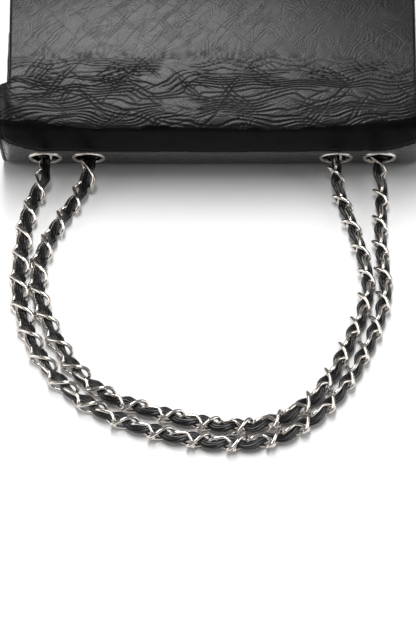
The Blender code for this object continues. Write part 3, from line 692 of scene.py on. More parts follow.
def turned_place(tree, vector, angle, length, spacing, place):
    """The surface map turned by the angle, counted in lengths along it and spacings across."""
    made = add_node(tree, "ShaderNodeMapping", {"vector_type": "TEXTURE"},
                    {"Vector": vector, "Rotation": (0, 0, angle), "Scale": (length, spacing, 1),
                     "Location": (place, place, 0)})
    return made.outputs[0]


def stretched_noise(tree, vector, along_share, across_share, detail, roughness):
    """Noise on the place times two shares: the smaller a share, the longer the noise there."""
    scaled = add_node(tree, "ShaderNodeVectorMath", {"operation": "MULTIPLY"},
                      {0: vector, 1: (along_share, across_share, 0)}).outputs[0]
    return noise_node(tree, scaled, 1.0, detail, roughness, "2D")


def add_bump(tree, shader, strength, distance, height):
    """Lets the height, times the distance in metres, bend the shader's normal."""
    bump = add_node(tree, "ShaderNodeBump", None,
                    {"Strength": strength, "Distance": distance, "Height": height})
    tree.links.new(bump.outputs[0], shader.inputs["Normal"])


def shade_of(colour, share=(1, 1, 1)):
    """The colour with each part times its share, and full opacity."""
    return tuple(min(1.0, part * times) for part, times in zip(colour, share)) + (1,)


def crease_node(tree, vector, angle, length, spacing, sharp, cut, place):
    """Bundles of fine creases, as crease_bundles makes them: a wave across the angle that noise
    bends, sharpened by a power and kept in long thin patches. 1 at the bottom of a crease."""
    turned = turned_place(tree, vector, angle, length, spacing, place)
    step = add_node(tree, "ShaderNodeSeparateXYZ", None, {0: turned}).outputs[1]
    bend = maths(tree, "MULTIPLY", stretched_noise(tree, turned, 1.4, 0.14, 2.0, 0.4), 4.0)
    phase = maths(tree, "MULTIPLY", maths(tree, "ADD", step, bend), 2 * math.pi)
    dip = maths(tree, "ADD", maths(tree, "MULTIPLY", maths(tree, "COSINE", phase), 0.5), 0.5)
    dip = maths(tree, "POWER", dip, sharp)
    patch = maths(tree, "SUBTRACT", stretched_noise(tree, turned, 1.0, 0.42, 0.0, 0.4), cut)
    return maths(tree, "MULTIPLY", dip, maths(tree, "MULTIPLY", patch, 9.0, clamp=True))


def line_node(tree, vector, angle, length, spacing, width, place):
    """Long wavy fine creases: where stretched noise, bent by wider noise, passes its middle. 1 at
    the bottom of a crease."""
    turned = turned_place(tree, vector, angle, length, spacing, place)
    bend = maths(tree, "MULTIPLY", stretched_noise(tree, turned, 2.0, 0.17, 1.0, 0.5), 3.0)
    shift = add_node(tree, "ShaderNodeCombineXYZ", None, {1: bend}).outputs[0]
    bent = add_node(tree, "ShaderNodeVectorMath", {"operation": "ADD"}, {0: turned, 1: shift}).outputs[0]
    value = noise_node(tree, bent, 1.0, 0.0, 0.0, "2D")
    away = maths(tree, "ABSOLUTE", maths(tree, "SUBTRACT", value, 0.5))
    valley = maths(tree, "SUBTRACT", 1.0, maths(tree, "DIVIDE", away, width), clamp=True)
    return maths(tree, "POWER", valley, 1.4)


# Fine creases that the material carries: angle, length, spacing, sharpness, where they start to
# show as a value of Blender's noise, which runs from 0 to 1, depth on the flap and over the top
FINE_CREASES = (
    (math.radians(50), 30 * MM, 2.2 * MM, 2.6, 0.54, 0.036, 0.02),
    (math.radians(30), 24 * MM, 2.0 * MM, 2.6, 0.56, 0.025, 0.015),
    (math.radians(8), 24 * MM, 1.7 * MM, 2.6, 0.55, 0.02, 0.04),
    (math.radians(-12), 24 * MM, 1.7 * MM, 2.6, 0.55, 0.008, 0.04),
    (math.radians(-42), 26 * MM, 2.2 * MM, 2.6, 0.55, 0.026, 0.02),
    (math.radians(76), 18 * MM, 1.9 * MM, 2.6, 0.58, 0.02, 0.01),
)
# Slanting lines on the strip: angle, spacing and where their noise starts, then length, width as a
# share of the noise, and depth
STRIP_LINES = ((math.radians(1), 2.2 * MM, 0.71), (math.radians(-6), 3.1 * MM, 0.37))
STRIP_LINE_LENGTH = 16 * MM
STRIP_LINE_WIDTH = 0.16
STRIP_LINE_DEPTH = 0.06
PEBBLES_PER_METRE = 900.0
PEBBLE_HEIGHT = 0.004


def leather_material(name, colour, roughness, specular, depth, fine=1.0, front=False, border=0.0):
    """Crinkled leather on the surface map: bundles of fine creases in six directions, deeper by
    the factor fine, over a pebble grain, and duller at the bottom of each crease. Where it has
    the round top's front, they stop below its fold. The border is the roughness added where the
    strip below the smooth band begins."""
    material, tree, shader = new_material(name, colour, roughness, 0.0, specular)
    place = add_node(tree, "ShaderNodeUVMap", {"uv_map": "surface"}).outputs[0]
    total = 0.0
    if front:
        shares = add_node(tree, "ShaderNodeAttribute", {"attribute_name": "shares"}).outputs["Vector"]
        over_top, below, strip = add_node(tree, "ShaderNodeSeparateXYZ", None, {0: shares}).outputs
        for angle, spacing, start in STRIP_LINES:
            lines = line_node(tree, place, angle, STRIP_LINE_LENGTH, spacing, STRIP_LINE_WIDTH, start)
            depth_there = maths(tree, "MULTIPLY", strip, STRIP_LINE_DEPTH)
            total = plus_product(tree, total, lines, depth_there)

    def add(total, lines, flat, deep):
        if front:
            flat = plus_product(tree, maths(tree, "MULTIPLY", below, flat), over_top, deep - flat)
        return plus_product(tree, total, lines, flat)

    for index, (angle, length, spacing, sharp, cut, flat, deep) in enumerate(FINE_CREASES):
        lines = crease_node(tree, place, angle, length, spacing, sharp, cut, 0.13 + 0.11 * index)
        total = add(total, lines, flat * fine, deep * fine)
    cells = add_node(tree, "ShaderNodeTexVoronoi", {"voronoi_dimensions": "2D"},
                     {"Vector": place, "Scale": PEBBLES_PER_METRE})
    grain = maths(tree, "MULTIPLY", cells.outputs[0], PEBBLE_HEIGHT)
    add_bump(tree, shader, 1.0, depth, maths(tree, "SUBTRACT", grain, total))
    cloud = noise_node(tree, place, 60.0, 3.0, 0.6, "2D")
    soft = ramp(tree, cloud, [(0.3, roughness - 0.008), (0.7, roughness + 0.01)])
    dull = maths(tree, "MULTIPLY", total, 2.0)
    if front:
        valley = add_node(tree, "ShaderNodeAttribute", {"attribute_name": "crease"}).outputs["Fac"]
        dull = plus_product(tree, dull, maths(tree, "POWER", valley, 1.5), 5.0)
        dull = plus_product(tree, dull, maths(tree, "SUBTRACT", 1.0, strip), border)
    tree.links.new(maths(tree, "ADD", soft, dull, clamp=True), shader.inputs["Roughness"])
    shades = [(0.3, shade_of(colour, [0.7] * 3)), (0.7, shade_of(colour, [1.35] * 3))]
    tree.links.new(ramp(tree, cloud, shades), shader.inputs["Base Color"])
    return material


def metal_material(name, colour, roughness):
    """Polished metal with faint scratches and a slow change of gloss, on object coordinates."""
    material, tree, shader = new_material(name, colour, roughness, 1.0)
    place = add_node(tree, "ShaderNodeTexCoord").outputs["Object"]
    add_bump(tree, shader, 0.25, 0.02 * MM, noise_node(tree, place, 900.0, 3.0, 0.6))
    cloud = noise_node(tree, place, 140.0, 2.0, 0.5)
    gloss = [(0.3, roughness * 0.7), (0.75, roughness * 1.5)]
    tree.links.new(ramp(tree, cloud, gloss), shader.inputs["Roughness"])
    shades = [(0.35, shade_of(colour)), (0.75, shade_of(colour, (0.93, 0.88, 0.82)))]
    tree.links.new(ramp(tree, cloud, shades), shader.inputs["Base Color"])
    return material


def lace_material(name, colour, roughness):
    """Thin leather cord with a faint fibre, on object coordinates."""
    material, tree, shader = new_material(name, colour, roughness)
    place = add_node(tree, "ShaderNodeTexCoord").outputs["Object"]
    add_bump(tree, shader, 0.3, 0.03 * MM, noise_node(tree, place, 1300.0, 2.0, 0.6))
    cloud = noise_node(tree, place, 200.0, 2.0, 0.5)
    gloss = [(0.35, roughness * 0.85), (0.7, roughness * 1.2)]
    tree.links.new(ramp(tree, cloud, gloss), shader.inputs["Roughness"])
    shades = [(0.35, shade_of(colour)), (0.75, shade_of(colour, [1.6] * 3))]
    tree.links.new(ramp(tree, cloud, shades), shader.inputs["Base Color"])
    return material


def board_material(name, colour):
    """Raw bonded board with short fibres, on object coordinates."""
    material, tree, shader = new_material(name, colour, 0.85, 0.0, 0.2)
    place = add_node(tree, "ShaderNodeTexCoord").outputs["Object"]
    fibre = noise_node(tree, place, 700.0, 4.0, 0.7)
    add_bump(tree, shader, 0.6, 0.1 * MM, fibre)
    shades = [(0.3, shade_of(colour, [0.6] * 3)), (0.7, shade_of(colour))]
    tree.links.new(ramp(tree, fibre, shades), shader.inputs["Base Color"])
    return material


# Settings

def colour_setting(name, text, default):
    """A colour that a user can change."""
    return bpy.props.FloatVectorProperty(name=name, description=text, subtype="COLOR", size=3,
                                         min=0, max=1, default=default)


def length_setting(name, text, default):
    """A length in metres that a user can change."""
    return bpy.props.FloatProperty(name=name, description=text, default=default, min=0,
                                   unit="LENGTH", precision=4)


class FLAPBAG_PG_colours(bpy.types.PropertyGroup):
    """Colours of the bag's leathers, metals and table."""
    leather: colour_setting("Leather", "Crinkled leather outside", (0.0042, 0.0042, 0.0044))
    lining: colour_setting("Lining", "Smooth leather inside", (0.016, 0.0155, 0.0155))
    lace: colour_setting("Lace", "Thin leather cords in the chain", (0.008, 0.008, 0.0085))
    silver: colour_setting("Silver", "Chain links and eyelets", (0.72, 0.69, 0.66))
    plated: colour_setting("Plated", "Magnets", (0.55, 0.55, 0.55))
    board: colour_setting("Board", "Stiffener boards", (0.25, 0.21, 0.16))
    table: colour_setting("Table", "Table under the bag", (1.0, 1.0, 1.0))


class FLAPBAG_PG_sizes(bpy.types.PropertyGroup):
    """Sizes of the finer pieces."""
    pitch: length_setting("Leather pitch", "Distance between the points of the leather", 0.6 * MM)
    wire: length_setting("Wire radius", "Half the thickness of a link's wire", 1.2 * MM)
    cord: length_setting("Cord radius", "Half the thickness of one thin lace cord", 0.76 * MM)
    edge: length_setting("Edge radius", "Radius of the flap's turned edge", 1.55 * MM)
    flap_half: length_setting("Flap half width", "Half the flap's width at the notches", 132 * MM)
    band_half: length_setting("Band half width", "Half the round top's width", 136.9 * MM)
    corner: length_setting("Flap corner", "Radius of the flap's two lower corners", 14 * MM)


# Straps

def strap_ends(first_x, last_x):
    """Where a strap passes through two eyelets, a little below their middles."""
    return [STRIP_CENTRE + STRIP_DOWN * STRAP_DROP + np.array([x, 0, 0]) for x in (first_x, last_x)]


def strap_line(route, first_x, last_x):
    """The middle line of a strap on the table: straight out of the left eyelet, through the
    route's points on one smooth curve, and straight into the right eyelet."""
    first, last = strap_ends(first_x, last_x)
    lead, start = STRIP_NORMAL * STRAP_LEAD, STRIP_NORMAL * STRAP_START
    curve = curve_through([first + lead] + [np.array(p) * MM for p in route] + [last + lead], 10)
    return evenly(np.concatenate([[first + start], curve, [last + start]]), 2 * MM)


def inside_line(first_x, last_x):
    """The middle line of the short run that joins two eyelets inside the bag."""
    first, last = strap_ends(first_x, last_x)
    lean, depth = (last - first) * 0.1, STRIP_NORMAL * -INSIDE_DEPTH
    lead = STRIP_NORMAL * -STRAP_LEAD
    curve = curve_through([first + lead, first + depth * 0.7 + lean, (first + last) / 2 + depth,
                           last + depth * 0.7 - lean, last + lead], 10)
    return evenly(np.concatenate([[first], curve, [last]]), 2 * MM)


def along_strap(line, places):
    """World points of places given along the strap, to its left and up. Left is square to the
    strap and level; up is square to both."""
    along = travelled(line)
    forward = unit(np.gradient(line, axis=0))
    left = unit(np.cross(UP, forward))
    up = np.cross(forward, left)
    at = places[..., 0]

    over = at - np.clip(at, 0, along[-1])
    ahead, left, up = [unit(read_columns(table, along, at)) for table in (forward, left, up)]
    return (read_columns(line, along, at) + over[..., None] * ahead
            + places[..., 1:2] * left + places[..., 2:3] * up), up


def lay_shares(line, at):
    """How much of each of the three lays holds at distances along the strap: the squares of its
    direction's parts towards -Y, +X and +Y."""
    forward = unit(np.gradient(line, axis=0))
    along = travelled(line)
    x, y = [np.interp(at, along, forward[:, k]) for k in range(2)]
    shares = np.stack([np.minimum(y, 0) ** 2, x * x, np.maximum(y, 0) ** 2], -1)
    return shares / shares.sum(-1, keepdims=True)


def repeat_starts(places):
    """Where the cross links lie along the strap: evenly spaced between the places that are given
    as (number of the link, distance in mm), and one repeat beyond them at either end."""
    numbers, along = np.array(places, float).T
    numbers = np.concatenate([[numbers[0] - 1], numbers, [numbers[-1] + 1]])
    along = np.concatenate([[along[0] * MM - CHAIN_REPEAT], along * MM, [along[-1] * MM + CHAIN_REPEAT]])
    return np.interp(np.arange(numbers[0], numbers[-1] + 1), numbers, along)


def lace_places(line, places):
    """Where the lace's thin cords run: the bundle swings from side to side once a repeat, rises
    as it swings left, and rolls a little as it swings."""
    length = travelled(line)[-1]
    at = np.append(np.arange(0, length, 1.25 * MM), length)
    starts = repeat_starts(places)
    turn = 2 * math.pi * (np.interp(at, starts, np.arange(len(starts))) - SWING_AT / CHAIN_REPEAT)
    shares = lay_shares(line, at)
    swing = shares @ LACE_MIDDLE + shares @ LACE_SWING * (np.cos(turn) + 0.15 * np.cos(2 * turn))
    rise = (0.3 + 0.5 * np.cos(turn)) * MM
    roll = 0.35 * np.sin(turn)
    across = LACE_CORDS[:, :1] * np.cos(roll) - LACE_CORDS[:, 1:] * np.sin(roll)
    high = LACE_CORDS[:, :1] * np.sin(roll) + LACE_CORDS[:, 1:] * np.cos(roll)
    return np.stack([np.broadcast_to(at, across.shape), across + swing, high + rise], -1)


def link_places(line, places, seed):
    """The closed middle lines of all links of a strap: at each repeat the two links, blended
    from their three lays, each turned about the strap a little."""
    random = np.random.default_rng(seed)
    length = travelled(line)[-1]
    lines = []
    for start in repeat_starts(places):
        for shape in (CROSS_LINK, LONG_LINK):
            middle = start + shape[..., 0].mean()
            turn, shift = random.normal(0, 0.06), random.normal(0, 0.15, 2) * MM
            if -1 * MM < middle < length + 1 * MM:
                mixed = np.tensordot(lay_shares(line, middle), shape, 1)
                ring = evenly_round(curve_through(mixed, 4, closed=True), 36)
                c, s = math.cos(turn), math.sin(turn)
                side, up = ring[:, 1] + shift[1], ring[:, 2]
                lines.append(np.stack([ring[:, 0] + start + shift[0], c * side - s * up,
                                       s * side + c * up], 1))
    return np.array(lines)


def make_strap(name, line, places, seed, sizes, lace, silver):
    """One run of strap: a mesh of thin lace cords, and a mesh of the links that they pass
    through, both laid along the line and resting on the table."""
    cords, ups = along_strap(line, lace_places(line, places))
    cords[..., 2] = np.maximum(cords[..., 2], sizes.cord)
    points, faces = tubes(cords, sizes.cord, 8, ups, closed=False)
    laces = put_mesh(name + "_lace", points, faces, lace)
    world, ups = along_strap(line, link_places(line, places, seed))
    world[..., 2] = np.maximum(world[..., 2], sizes.wire)
    out = world - world.mean(1, keepdims=True)
    points, faces = tubes(world, sizes.wire, 8, out, closed=True)
    links = put_mesh(name + "_links", points, faces, silver)
    close_seams(links)
    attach(laces, "bag")
    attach(links, "bag")
    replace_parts(laces, name)
    return [laces, links]


# Leather

def flap_half_width(along, y, sizes):
    """Half the leather's width: the flap's at and beyond the notch, drawn in round its two lower
    corners, and the round top's behind it, with a short step between."""
    flap = sizes.flap_half - sizes.edge + spread_at(y)
    into = np.clip(along - (FLAP_LENGTH - sizes.edge - sizes.corner), 0, sizes.corner)
    flap = flap - sizes.corner + np.sqrt(np.maximum(sizes.corner ** 2 - into ** 2, 0))
    band = sizes.band_half - 0.1 * MM + 0 * y
    step = eased(along, -2.2 * MM, 0.4 * MM)
    return band * (1 - step) + flap * step


def corner_fall(along):
    """How far the leather's very edge drops at both ends of the round top's fold."""
    return CORNER_FALL * eased(along, *CORNER_FROM) * eased(-along, *CORNER_TO)


def edge_share(across, half, width):
    """0 up to the width before the edge, growing evenly to 1 at the edge."""
    return np.clip((np.abs(across) - (half - width)) / width, 0, 1)


def rounded_off(edge):
    """How far a round edge has fallen, from 0 to nearly 1, at its share of the way out."""
    return 1 - np.sqrt(1 - 0.96 * edge ** 2)


def top_leather_points(sizes):
    """The crinkled leather of the round top and the flap in one sheet. Across: even columns, the
    outer ones drawn to the edge. Along: the section. Out: crinkles, soft swells, and the round
    top's ends falling away to the seams. Round the eyelets it is flat and a little pressed in."""
    low, high = TOP_BACK_END + 2 * MM, FLAP_LENGTH - sizes.edge
    notch_from, notch_to = [place * MM for place in NOTCH_ROWS[:2]]
    along = np.concatenate([np.arange(low, FINE_ROWS_FROM, 3 * sizes.pitch),
                            np.arange(FINE_ROWS_FROM, FRONT_ROWS_FROM, 2 * sizes.pitch),
                            np.arange(FRONT_ROWS_FROM, notch_from, sizes.pitch),
                            np.arange(*NOTCH_ROWS) * MM,
                            np.arange(notch_to, FLAP_ROWS_FROM, 1.5 * sizes.pitch),
                            np.arange(FLAP_ROWS_FROM, high - END_ROWS, 4 * sizes.pitch),
                            high - END_ROWS * np.cos(np.linspace(0, QUARTER, 16))])
    x = np.linspace(-1, 1, 2 * round(LEATHER_HALF / sizes.pitch) + 1) * LEATHER_HALF
    y, z, turn = top_section(along)
    half = flap_half_width(along, y, sizes)[:, None]
    outer = np.clip((np.abs(x) - LEATHER_CORE) / (LEATHER_HALF - LEATHER_CORE), 0, 1)
    across = np.where(np.abs(x)[None] <= LEATHER_CORE, x[None],
                      np.sign(x)[None] * (LEATHER_CORE + outer[None] * (half - LEATHER_CORE)))
    length = along[:, None] + 0 * across
    fuller = np.clip(1 - (np.abs(across) / FULL_HALF) ** 2.5, 0, 1)
    y, z, turn = [end[:, None] + fuller * (middle - end)[:, None]
                  for end, middle in zip((y, z, turn), middle_section(along))]
    behind = 1 - eased(along, -3 * MM, 1 * MM)[:, None]
    fall = -EDGE_FALL * rounded_off(edge_share(across, half, EDGE_WIDTH)) * behind
    fall = fall - edge_share(across, half, CORNER_WIDTH) ** 2 * corner_fall(along)[:, None]
    border = strip_share(across, length, BORDER_WIDTH)
    height = crinkle(across, length) - BORDER_PULL * border * (1 - border) * 4
    for x_eye in EYELET_X.values():
        ring = np.hypot(across - x_eye, length - EYELET_ALONG)
        height = height * eased(ring, 10 * MM, 16 * MM) - 0.1 * MM * (1 - eased(ring, 9 * MM, 13 * MM))
    sag = SAG_DEPTH * bell(length, SAG_AT, SAG_WIDTH) * (1 - (across / SAG_HALF) ** 2)
    out = outwards(turn)
    points = np.stack([across, y, z], -1) + out * (height + fall + sag)[..., None]
    return points, out, np.stack([across, length], -1)


def give_shares(piece, flat):
    """Puts the finishes' shares and the creases' depth in mm on the leather's points, where the
    material reads them."""
    across, along = flat.T
    shares = crease_shares(across, along)
    depth = crease_depth(across, along, *shares[:2]) * (1 - 0.75 * eased(-along, 6 * MM, 24 * MM))
    ends = 1 + 1.5 * eased(np.abs(across), 122 * MM, 128 * MM)
    shares = np.stack([*shares[:2], shares[2] * ends], 1)
    layer = piece.data.attributes.new("shares", "FLOAT_VECTOR", "POINT")
    layer.data.foreach_set("vector", shares.astype(np.float32).ravel())
    layer = piece.data.attributes.new("crease", "FLOAT", "POINT")
    layer.data.foreach_set("value", depth.astype(np.float32))


def cut_eyelet_holes(points, flat, faces):
    """Leaves out the faces inside the four eyelets' holes, which the metal rims cover."""
    middle = flat[faces].mean(1)
    keep = np.ones(len(faces), bool)
    for x_eye in EYELET_X.values():
        away = np.hypot(middle[:, 0] - x_eye, middle[:, 1] - EYELET_ALONG)
        keep &= away > EYELET_HOLE_RADIUS + EYELET_HOLE_MARGIN
    return faces[keep]


def body_section(inset):
    """Section of the body from the back, round the base and up the front to the mouth, as points
    with their normal angles, at an inset from the outer face."""
    crown = CROWN_RADIUS - FRONT_INSET
    centre_y = BAG_HEIGHT / 2 - BASE_RADIUS
    high_z = CROWN_Z + math.sqrt((crown - BASE_RADIUS) ** 2 - (centre_y - CROWN_Y) ** 2)
    meet = math.atan2(high_z - CROWN_Z, CROWN_Y - centre_y)
    step = 1.6 * MM
    mouth = NOTCH_ANGLE + MOUTH_LENGTH / CROWN_RADIUS

    def arc(cy, cz, radius, first, last):
        turn = np.linspace(first, last, max(3, round(abs(last - first) * radius / step)))
        return np.stack([cy - (radius - inset) * np.cos(turn), cz + (radius - inset) * np.sin(turn),
                         turn], 1)

    back_y = np.arange(centre_y, BACK_CURVE_Y - 2 * MM, -step)[::-1]
    back = np.stack([back_y, 0 * back_y + inset, 0 * back_y + 3 * QUARTER], 1)
    wall_z = np.arange(BASE_RADIUS, high_z, step)
    wall = np.stack([0 * wall_z + BAG_HEIGHT / 2 - inset, wall_z, 0 * wall_z + 2 * QUARTER], 1)
    low = arc(centre_y, BASE_RADIUS, BASE_RADIUS, 3 * QUARTER, 2 * QUARTER)
    top = arc(centre_y, high_z, BASE_RADIUS, 2 * QUARTER, meet)
    front = arc(CROWN_Y, CROWN_Z, crown, meet, mouth)
    return np.concatenate([back, low[1:], wall[1:], top[1:], front[1:]])


def body_half_width(y, z):
    """Half the body's width: it leans in from the back to the front and widens to the base."""
    return BODY_HALF - z * math.tan(SIDE_LEAN) + spread_at(y)


def side_section():
    """Two lines of equal count from the round top's foremost point to the middle of the base:
    one along the back, one over the top and front. Each point is (y, z, normal angle, share of
    the round top's leather, whose edge falls away, over it)."""
    def read(low, high, count):
        y, z, turn = top_section(np.linspace(low, high, count))
        return np.stack([y, z, turn, 1 + 0 * y], 1)

    body = body_section(0.0)
    start = -TOP_LENGTH * 0.55
    back_edge = TOP_BACK_END + 1 * MM
    middle = np.argmin(np.abs(body[:, 1] - 45 * MM) + 10 * (body[:, 0] < BAG_HEIGHT / 2 - 1 * MM))
    body = np.concatenate([body, 0 * body[:, :1]], 1)
    lower = np.concatenate([read(start, back_edge, 80), body[4:middle + 1] - [0, 0, 4 * QUARTER, 0]])
    crown = body[middle:][::-1]
    over = read(start, 6 * MM, 60)
    over[:, 0] += np.cos(over[:, 2]) * 1 * MM
    mouth = crown[0]
    gap = np.linspace(0, 1, 40)[1:-1, None]
    bridge = over[-1] * (1 - gap) + mouth * gap
    turn = np.linspace(NOTCH_ANGLE, mouth[2], 38)
    bridge[:, 0] = CROWN_Y - (CROWN_RADIUS - FRONT_INSET) * np.cos(turn)
    bridge[:, 1] = CROWN_Z + (CROWN_RADIUS - FRONT_INSET) * np.sin(turn)
    bridge[:, 3] = 0
    upper = np.concatenate([over, bridge[6:], crown])
    return lower, upper


def resample(rows, count):
    """The rows again at an even spacing in their first two columns."""
    along = travelled(rows[:, :2])
    return read_columns(rows, along, np.linspace(0, along[-1], count))


def side_surface(inset, rows, columns):
    """A side of the bag ruled between its back edge and its top and front edge, both moved in by
    the inset, and by SIDE_UNDER_TOP at least where the round top's leather lies over them. Returns
    y, z, the share of the way between the two edges, and how far the side is drawn in: a squared
    sine across and a sharper fold along the middle, less two puffs, dying out at both ends."""
    lower, upper = [resample(line, rows) for line in side_section()]
    for line in (lower, upper):
        deep = np.maximum(inset, SIDE_UNDER_TOP * line[:, 3:])
        line[:, :2] += deep * np.stack([np.cos(line[:, 2]), -np.sin(line[:, 2])], 1)
    t = np.linspace(0, 1, columns)[None]
    y = lower[:, :1] * (1 - t) + upper[:, :1] * t
    z = lower[:, 1:2] * (1 - t) + upper[:, 1:2] * t
    width = np.hypot(lower[:, 0] - upper[:, 0], lower[:, 1] - upper[:, 1])[:, None]
    room = np.clip(width / SIDE_ROOM, 0, 1) ** 1.5 * (1 - eased(y, *SIDE_ENDS))
    pull = SIDE_DRAW * np.sin(math.pi * t) ** 2 + SIDE_FOLD * bell(t, 0.5, SIDE_FOLD_WIDTH)
    puffs = sum(bell(t, place, SIDE_PUFF_WIDTH) for place in SIDE_PUFFS_AT)
    return y, z, t, (pull - SIDE_PUFF * puffs) * room


def closed_side(name, x, y, z, wall, leather):
    """A side panel as a closed shell: its outer grid, the same grid moved in by the wall, and the
    two long edges between them. The grids' short ends are single points."""
    grid = grid_points(x, y, z)
    rows, columns = x.shape
    count = rows * columns
    inner = grid - np.sign(x)[..., None] * np.array([wall, 0, 0])
    number = np.arange(count).reshape(rows, columns)
    faces = grid_faces(rows, columns)
    ends = [np.stack([edge[:-1], edge[1:], edge[1:] + count, edge[:-1] + count], -1)
            for edge in (number[:, 0], number[:, -1])]
    everything = np.concatenate([faces, faces[:, ::-1] + count, ends[0], ends[1][:, ::-1]])
    flat = np.stack([z + 0 * x, y + 0 * x], -1).reshape(-1, 2)
    points = np.concatenate([grid.reshape(-1, 3), inner.reshape(-1, 3)])
    piece = put_mesh(name, points, everything, leather, np.concatenate([flat, flat]))
    close_seams(piece, 0.05 * MM)
    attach(piece, "bag")
    return piece


def make_gusset(side, word, leather):
    """A side panel of soft leather, rippled a little, on its drawn-in surface."""
    y, z, t, pull = side_surface(0.0, 190, 64)
    ripple = waves(y, z, 0.5, 26, 22, 61, 7 * side) + waves(y, z, 0.2, 11, 13, 62, 3 * side)
    edge = np.sin(math.pi * t) ** 0.5
    x = side * (body_half_width(y, z) - 0.4 * MM - pull - ripple * edge * eased(y, 92 * MM, 70 * MM))
    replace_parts(closed_side("gusset_leather_" + word, x, y, z, GUSSET_WALL, leather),
                "gusset_" + word)


def make_side_lining(side, word, lining):
    """The lining beside a gusset: it keeps clear of the gusset's fold."""
    y, z, t, pull = side_surface(5.2 * MM, 110, 30)
    ripple = 0.15 * MM + waves(y, z, 0.15, 30, 18, 63, 5 * side)
    x = side * (body_half_width(y, z) - 3.8 * MM - 0.6 * np.maximum(pull, 0) - ripple * np.sin(math.pi * t))
    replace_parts(closed_side("side_lining_" + word, x, y, z, LINING_WALL, lining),
                "lining_" + word)


def make_piping(side, word, leather):
    """Round piping along the edge of the back and the round top: a tube that swings a little
    along the seam and dives under the flap at the notch."""
    back_y = np.arange(75 * MM, BACK_CURVE_Y + 6 * MM, -1.5 * MM)
    low = TOP_BACK_END - 4 * MM
    along = np.arange(low, -0.5 * MM, 1.2 * MM)
    inset = PIPING_LIFT + 1.7 * MM * eased(along, low + 6 * MM, low + 16 * MM) + corner_fall(along)
    inset = inset + 3 * MM * np.clip(1 + along / (9 * MM), 0, 1) ** 2
    y, z = moved_in(*top_section(along), inset)
    y, z = np.concatenate([back_y, y]), np.concatenate([0 * back_y + PIPING_LIFT, z])
    swing = waves(y, z, 0.25, 14, 14, 71)
    from_end = np.minimum(np.arange(len(y)), np.arange(len(y))[::-1])
    tuck = 2.5 * MM * np.clip(1 - from_end / 8, 0, 1) ** 2
    x = side * (PIPING_HALF + spread_at(y) + swing - tuck)
    line = np.stack([x, y, z], 1)[None]
    ups = np.broadcast_to(np.array([side * 1.0, 0, 0]), line.shape)
    points, faces = tubes(line, PIPING_RADIUS, PIPING_SIDES, ups, closed=False)
    flat = np.stack([np.tile(np.arange(PIPING_SIDES) * 0.8 * MM, line.shape[1]),
                     np.repeat(travelled(line[0]), PIPING_SIDES)], 1)
    piece = put_mesh("edge_piping_leather_" + word, points, faces, leather, flat)
    close_seams(piece)
    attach(piece, "bag")
    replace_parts(piece, "edge_piping_" + word)


# Operators

class BagOperator(bpy.types.Operator):
    """Base of the bag's operators: runs build and reports it as finished."""
    bl_options = {"REGISTER"}

    def execute(self, context):
        self.build(context.scene.flapbag_sizes, context.scene.flapbag_colours)
        return {"FINISHED"}


class FLAPBAG_OT_straps(BagOperator):
    """Two chain straps laced with thin leather cords, and their short runs inside the bag"""
    bl_idname = "flapbag.straps"
    bl_label = "Laced chain straps"

    def build(self, sizes, colours):
        lace = lace_material("black lace", tuple(colours.lace), 0.24)
        silver = metal_material("polished silver links", tuple(colours.silver), 0.17)
        at = EYELET_X
        runs = (("outer", strap_line(OUTER_ROUTE, at["outer_left"], at["outer_right"]),
                 OUTER_LINKS, "left", inside_line(at["outer_left"], at["inner_left"])),
                ("inner", strap_line(INNER_ROUTE, at["inner_left"], at["inner_right"]),
                 INNER_LINKS, "right", inside_line(at["inner_right"], at["outer_right"])))
        for seed, (word, line, places, side, short) in enumerate(runs):
            inside = make_strap("strap_inside_" + side, short, INSIDE_LINKS, seed, sizes, lace, silver)
            outside = make_strap("strap_" + word, line, places, 10 + seed, sizes, lace, silver)


class FLAPBAG_OT_top_leather(BagOperator):
    """Crinkled leather of the round top and the flap in one sheet, which runs on over the notches"""
    bl_idname = "flapbag.top_leather"
    bl_label = "Top and flap leather"
    # Above the fold, below it, and on the strip: name, roughness, specular level, border
    finishes = (("crinkled black leather", 0.27, 0.28, 0.0), ("smooth black leather", 0.3, 0.02, 0.0),
                ("glossy black leather", 0.27, 0.85, 1.2))

    def build(self, sizes, colours):
        leather, smooth, glossy = [
            leather_material(name, tuple(colours.leather), roughness, specular, 1.0 * MM, front=True,
                             border=border)
            for name, roughness, specular, border in self.finishes]
        points, normals, flat = top_leather_points(sizes)
        points, faces, flat = sheet_with_rolled_edge(points, normals, sizes.edge, 8 * MM, flat)
        faces = cut_eyelet_holes(points, flat, faces)
        piece = put_mesh("crinkled_top_and_flap", points, faces, leather, flat)
        piece.data.materials.append(smooth)
        piece.data.materials.append(glossy)
        below, strip = crease_shares(*flat[faces].mean(1).T)[1:]
        finish = np.where(strip < 0.5, 1 * (below < 0.8), 2)
        piece.data.polygons.foreach_set("material_index", finish.astype(np.int32))
        give_shares(piece, flat)
        close_seams(piece)
        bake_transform(piece)
        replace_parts(piece, "top_band", "flap")


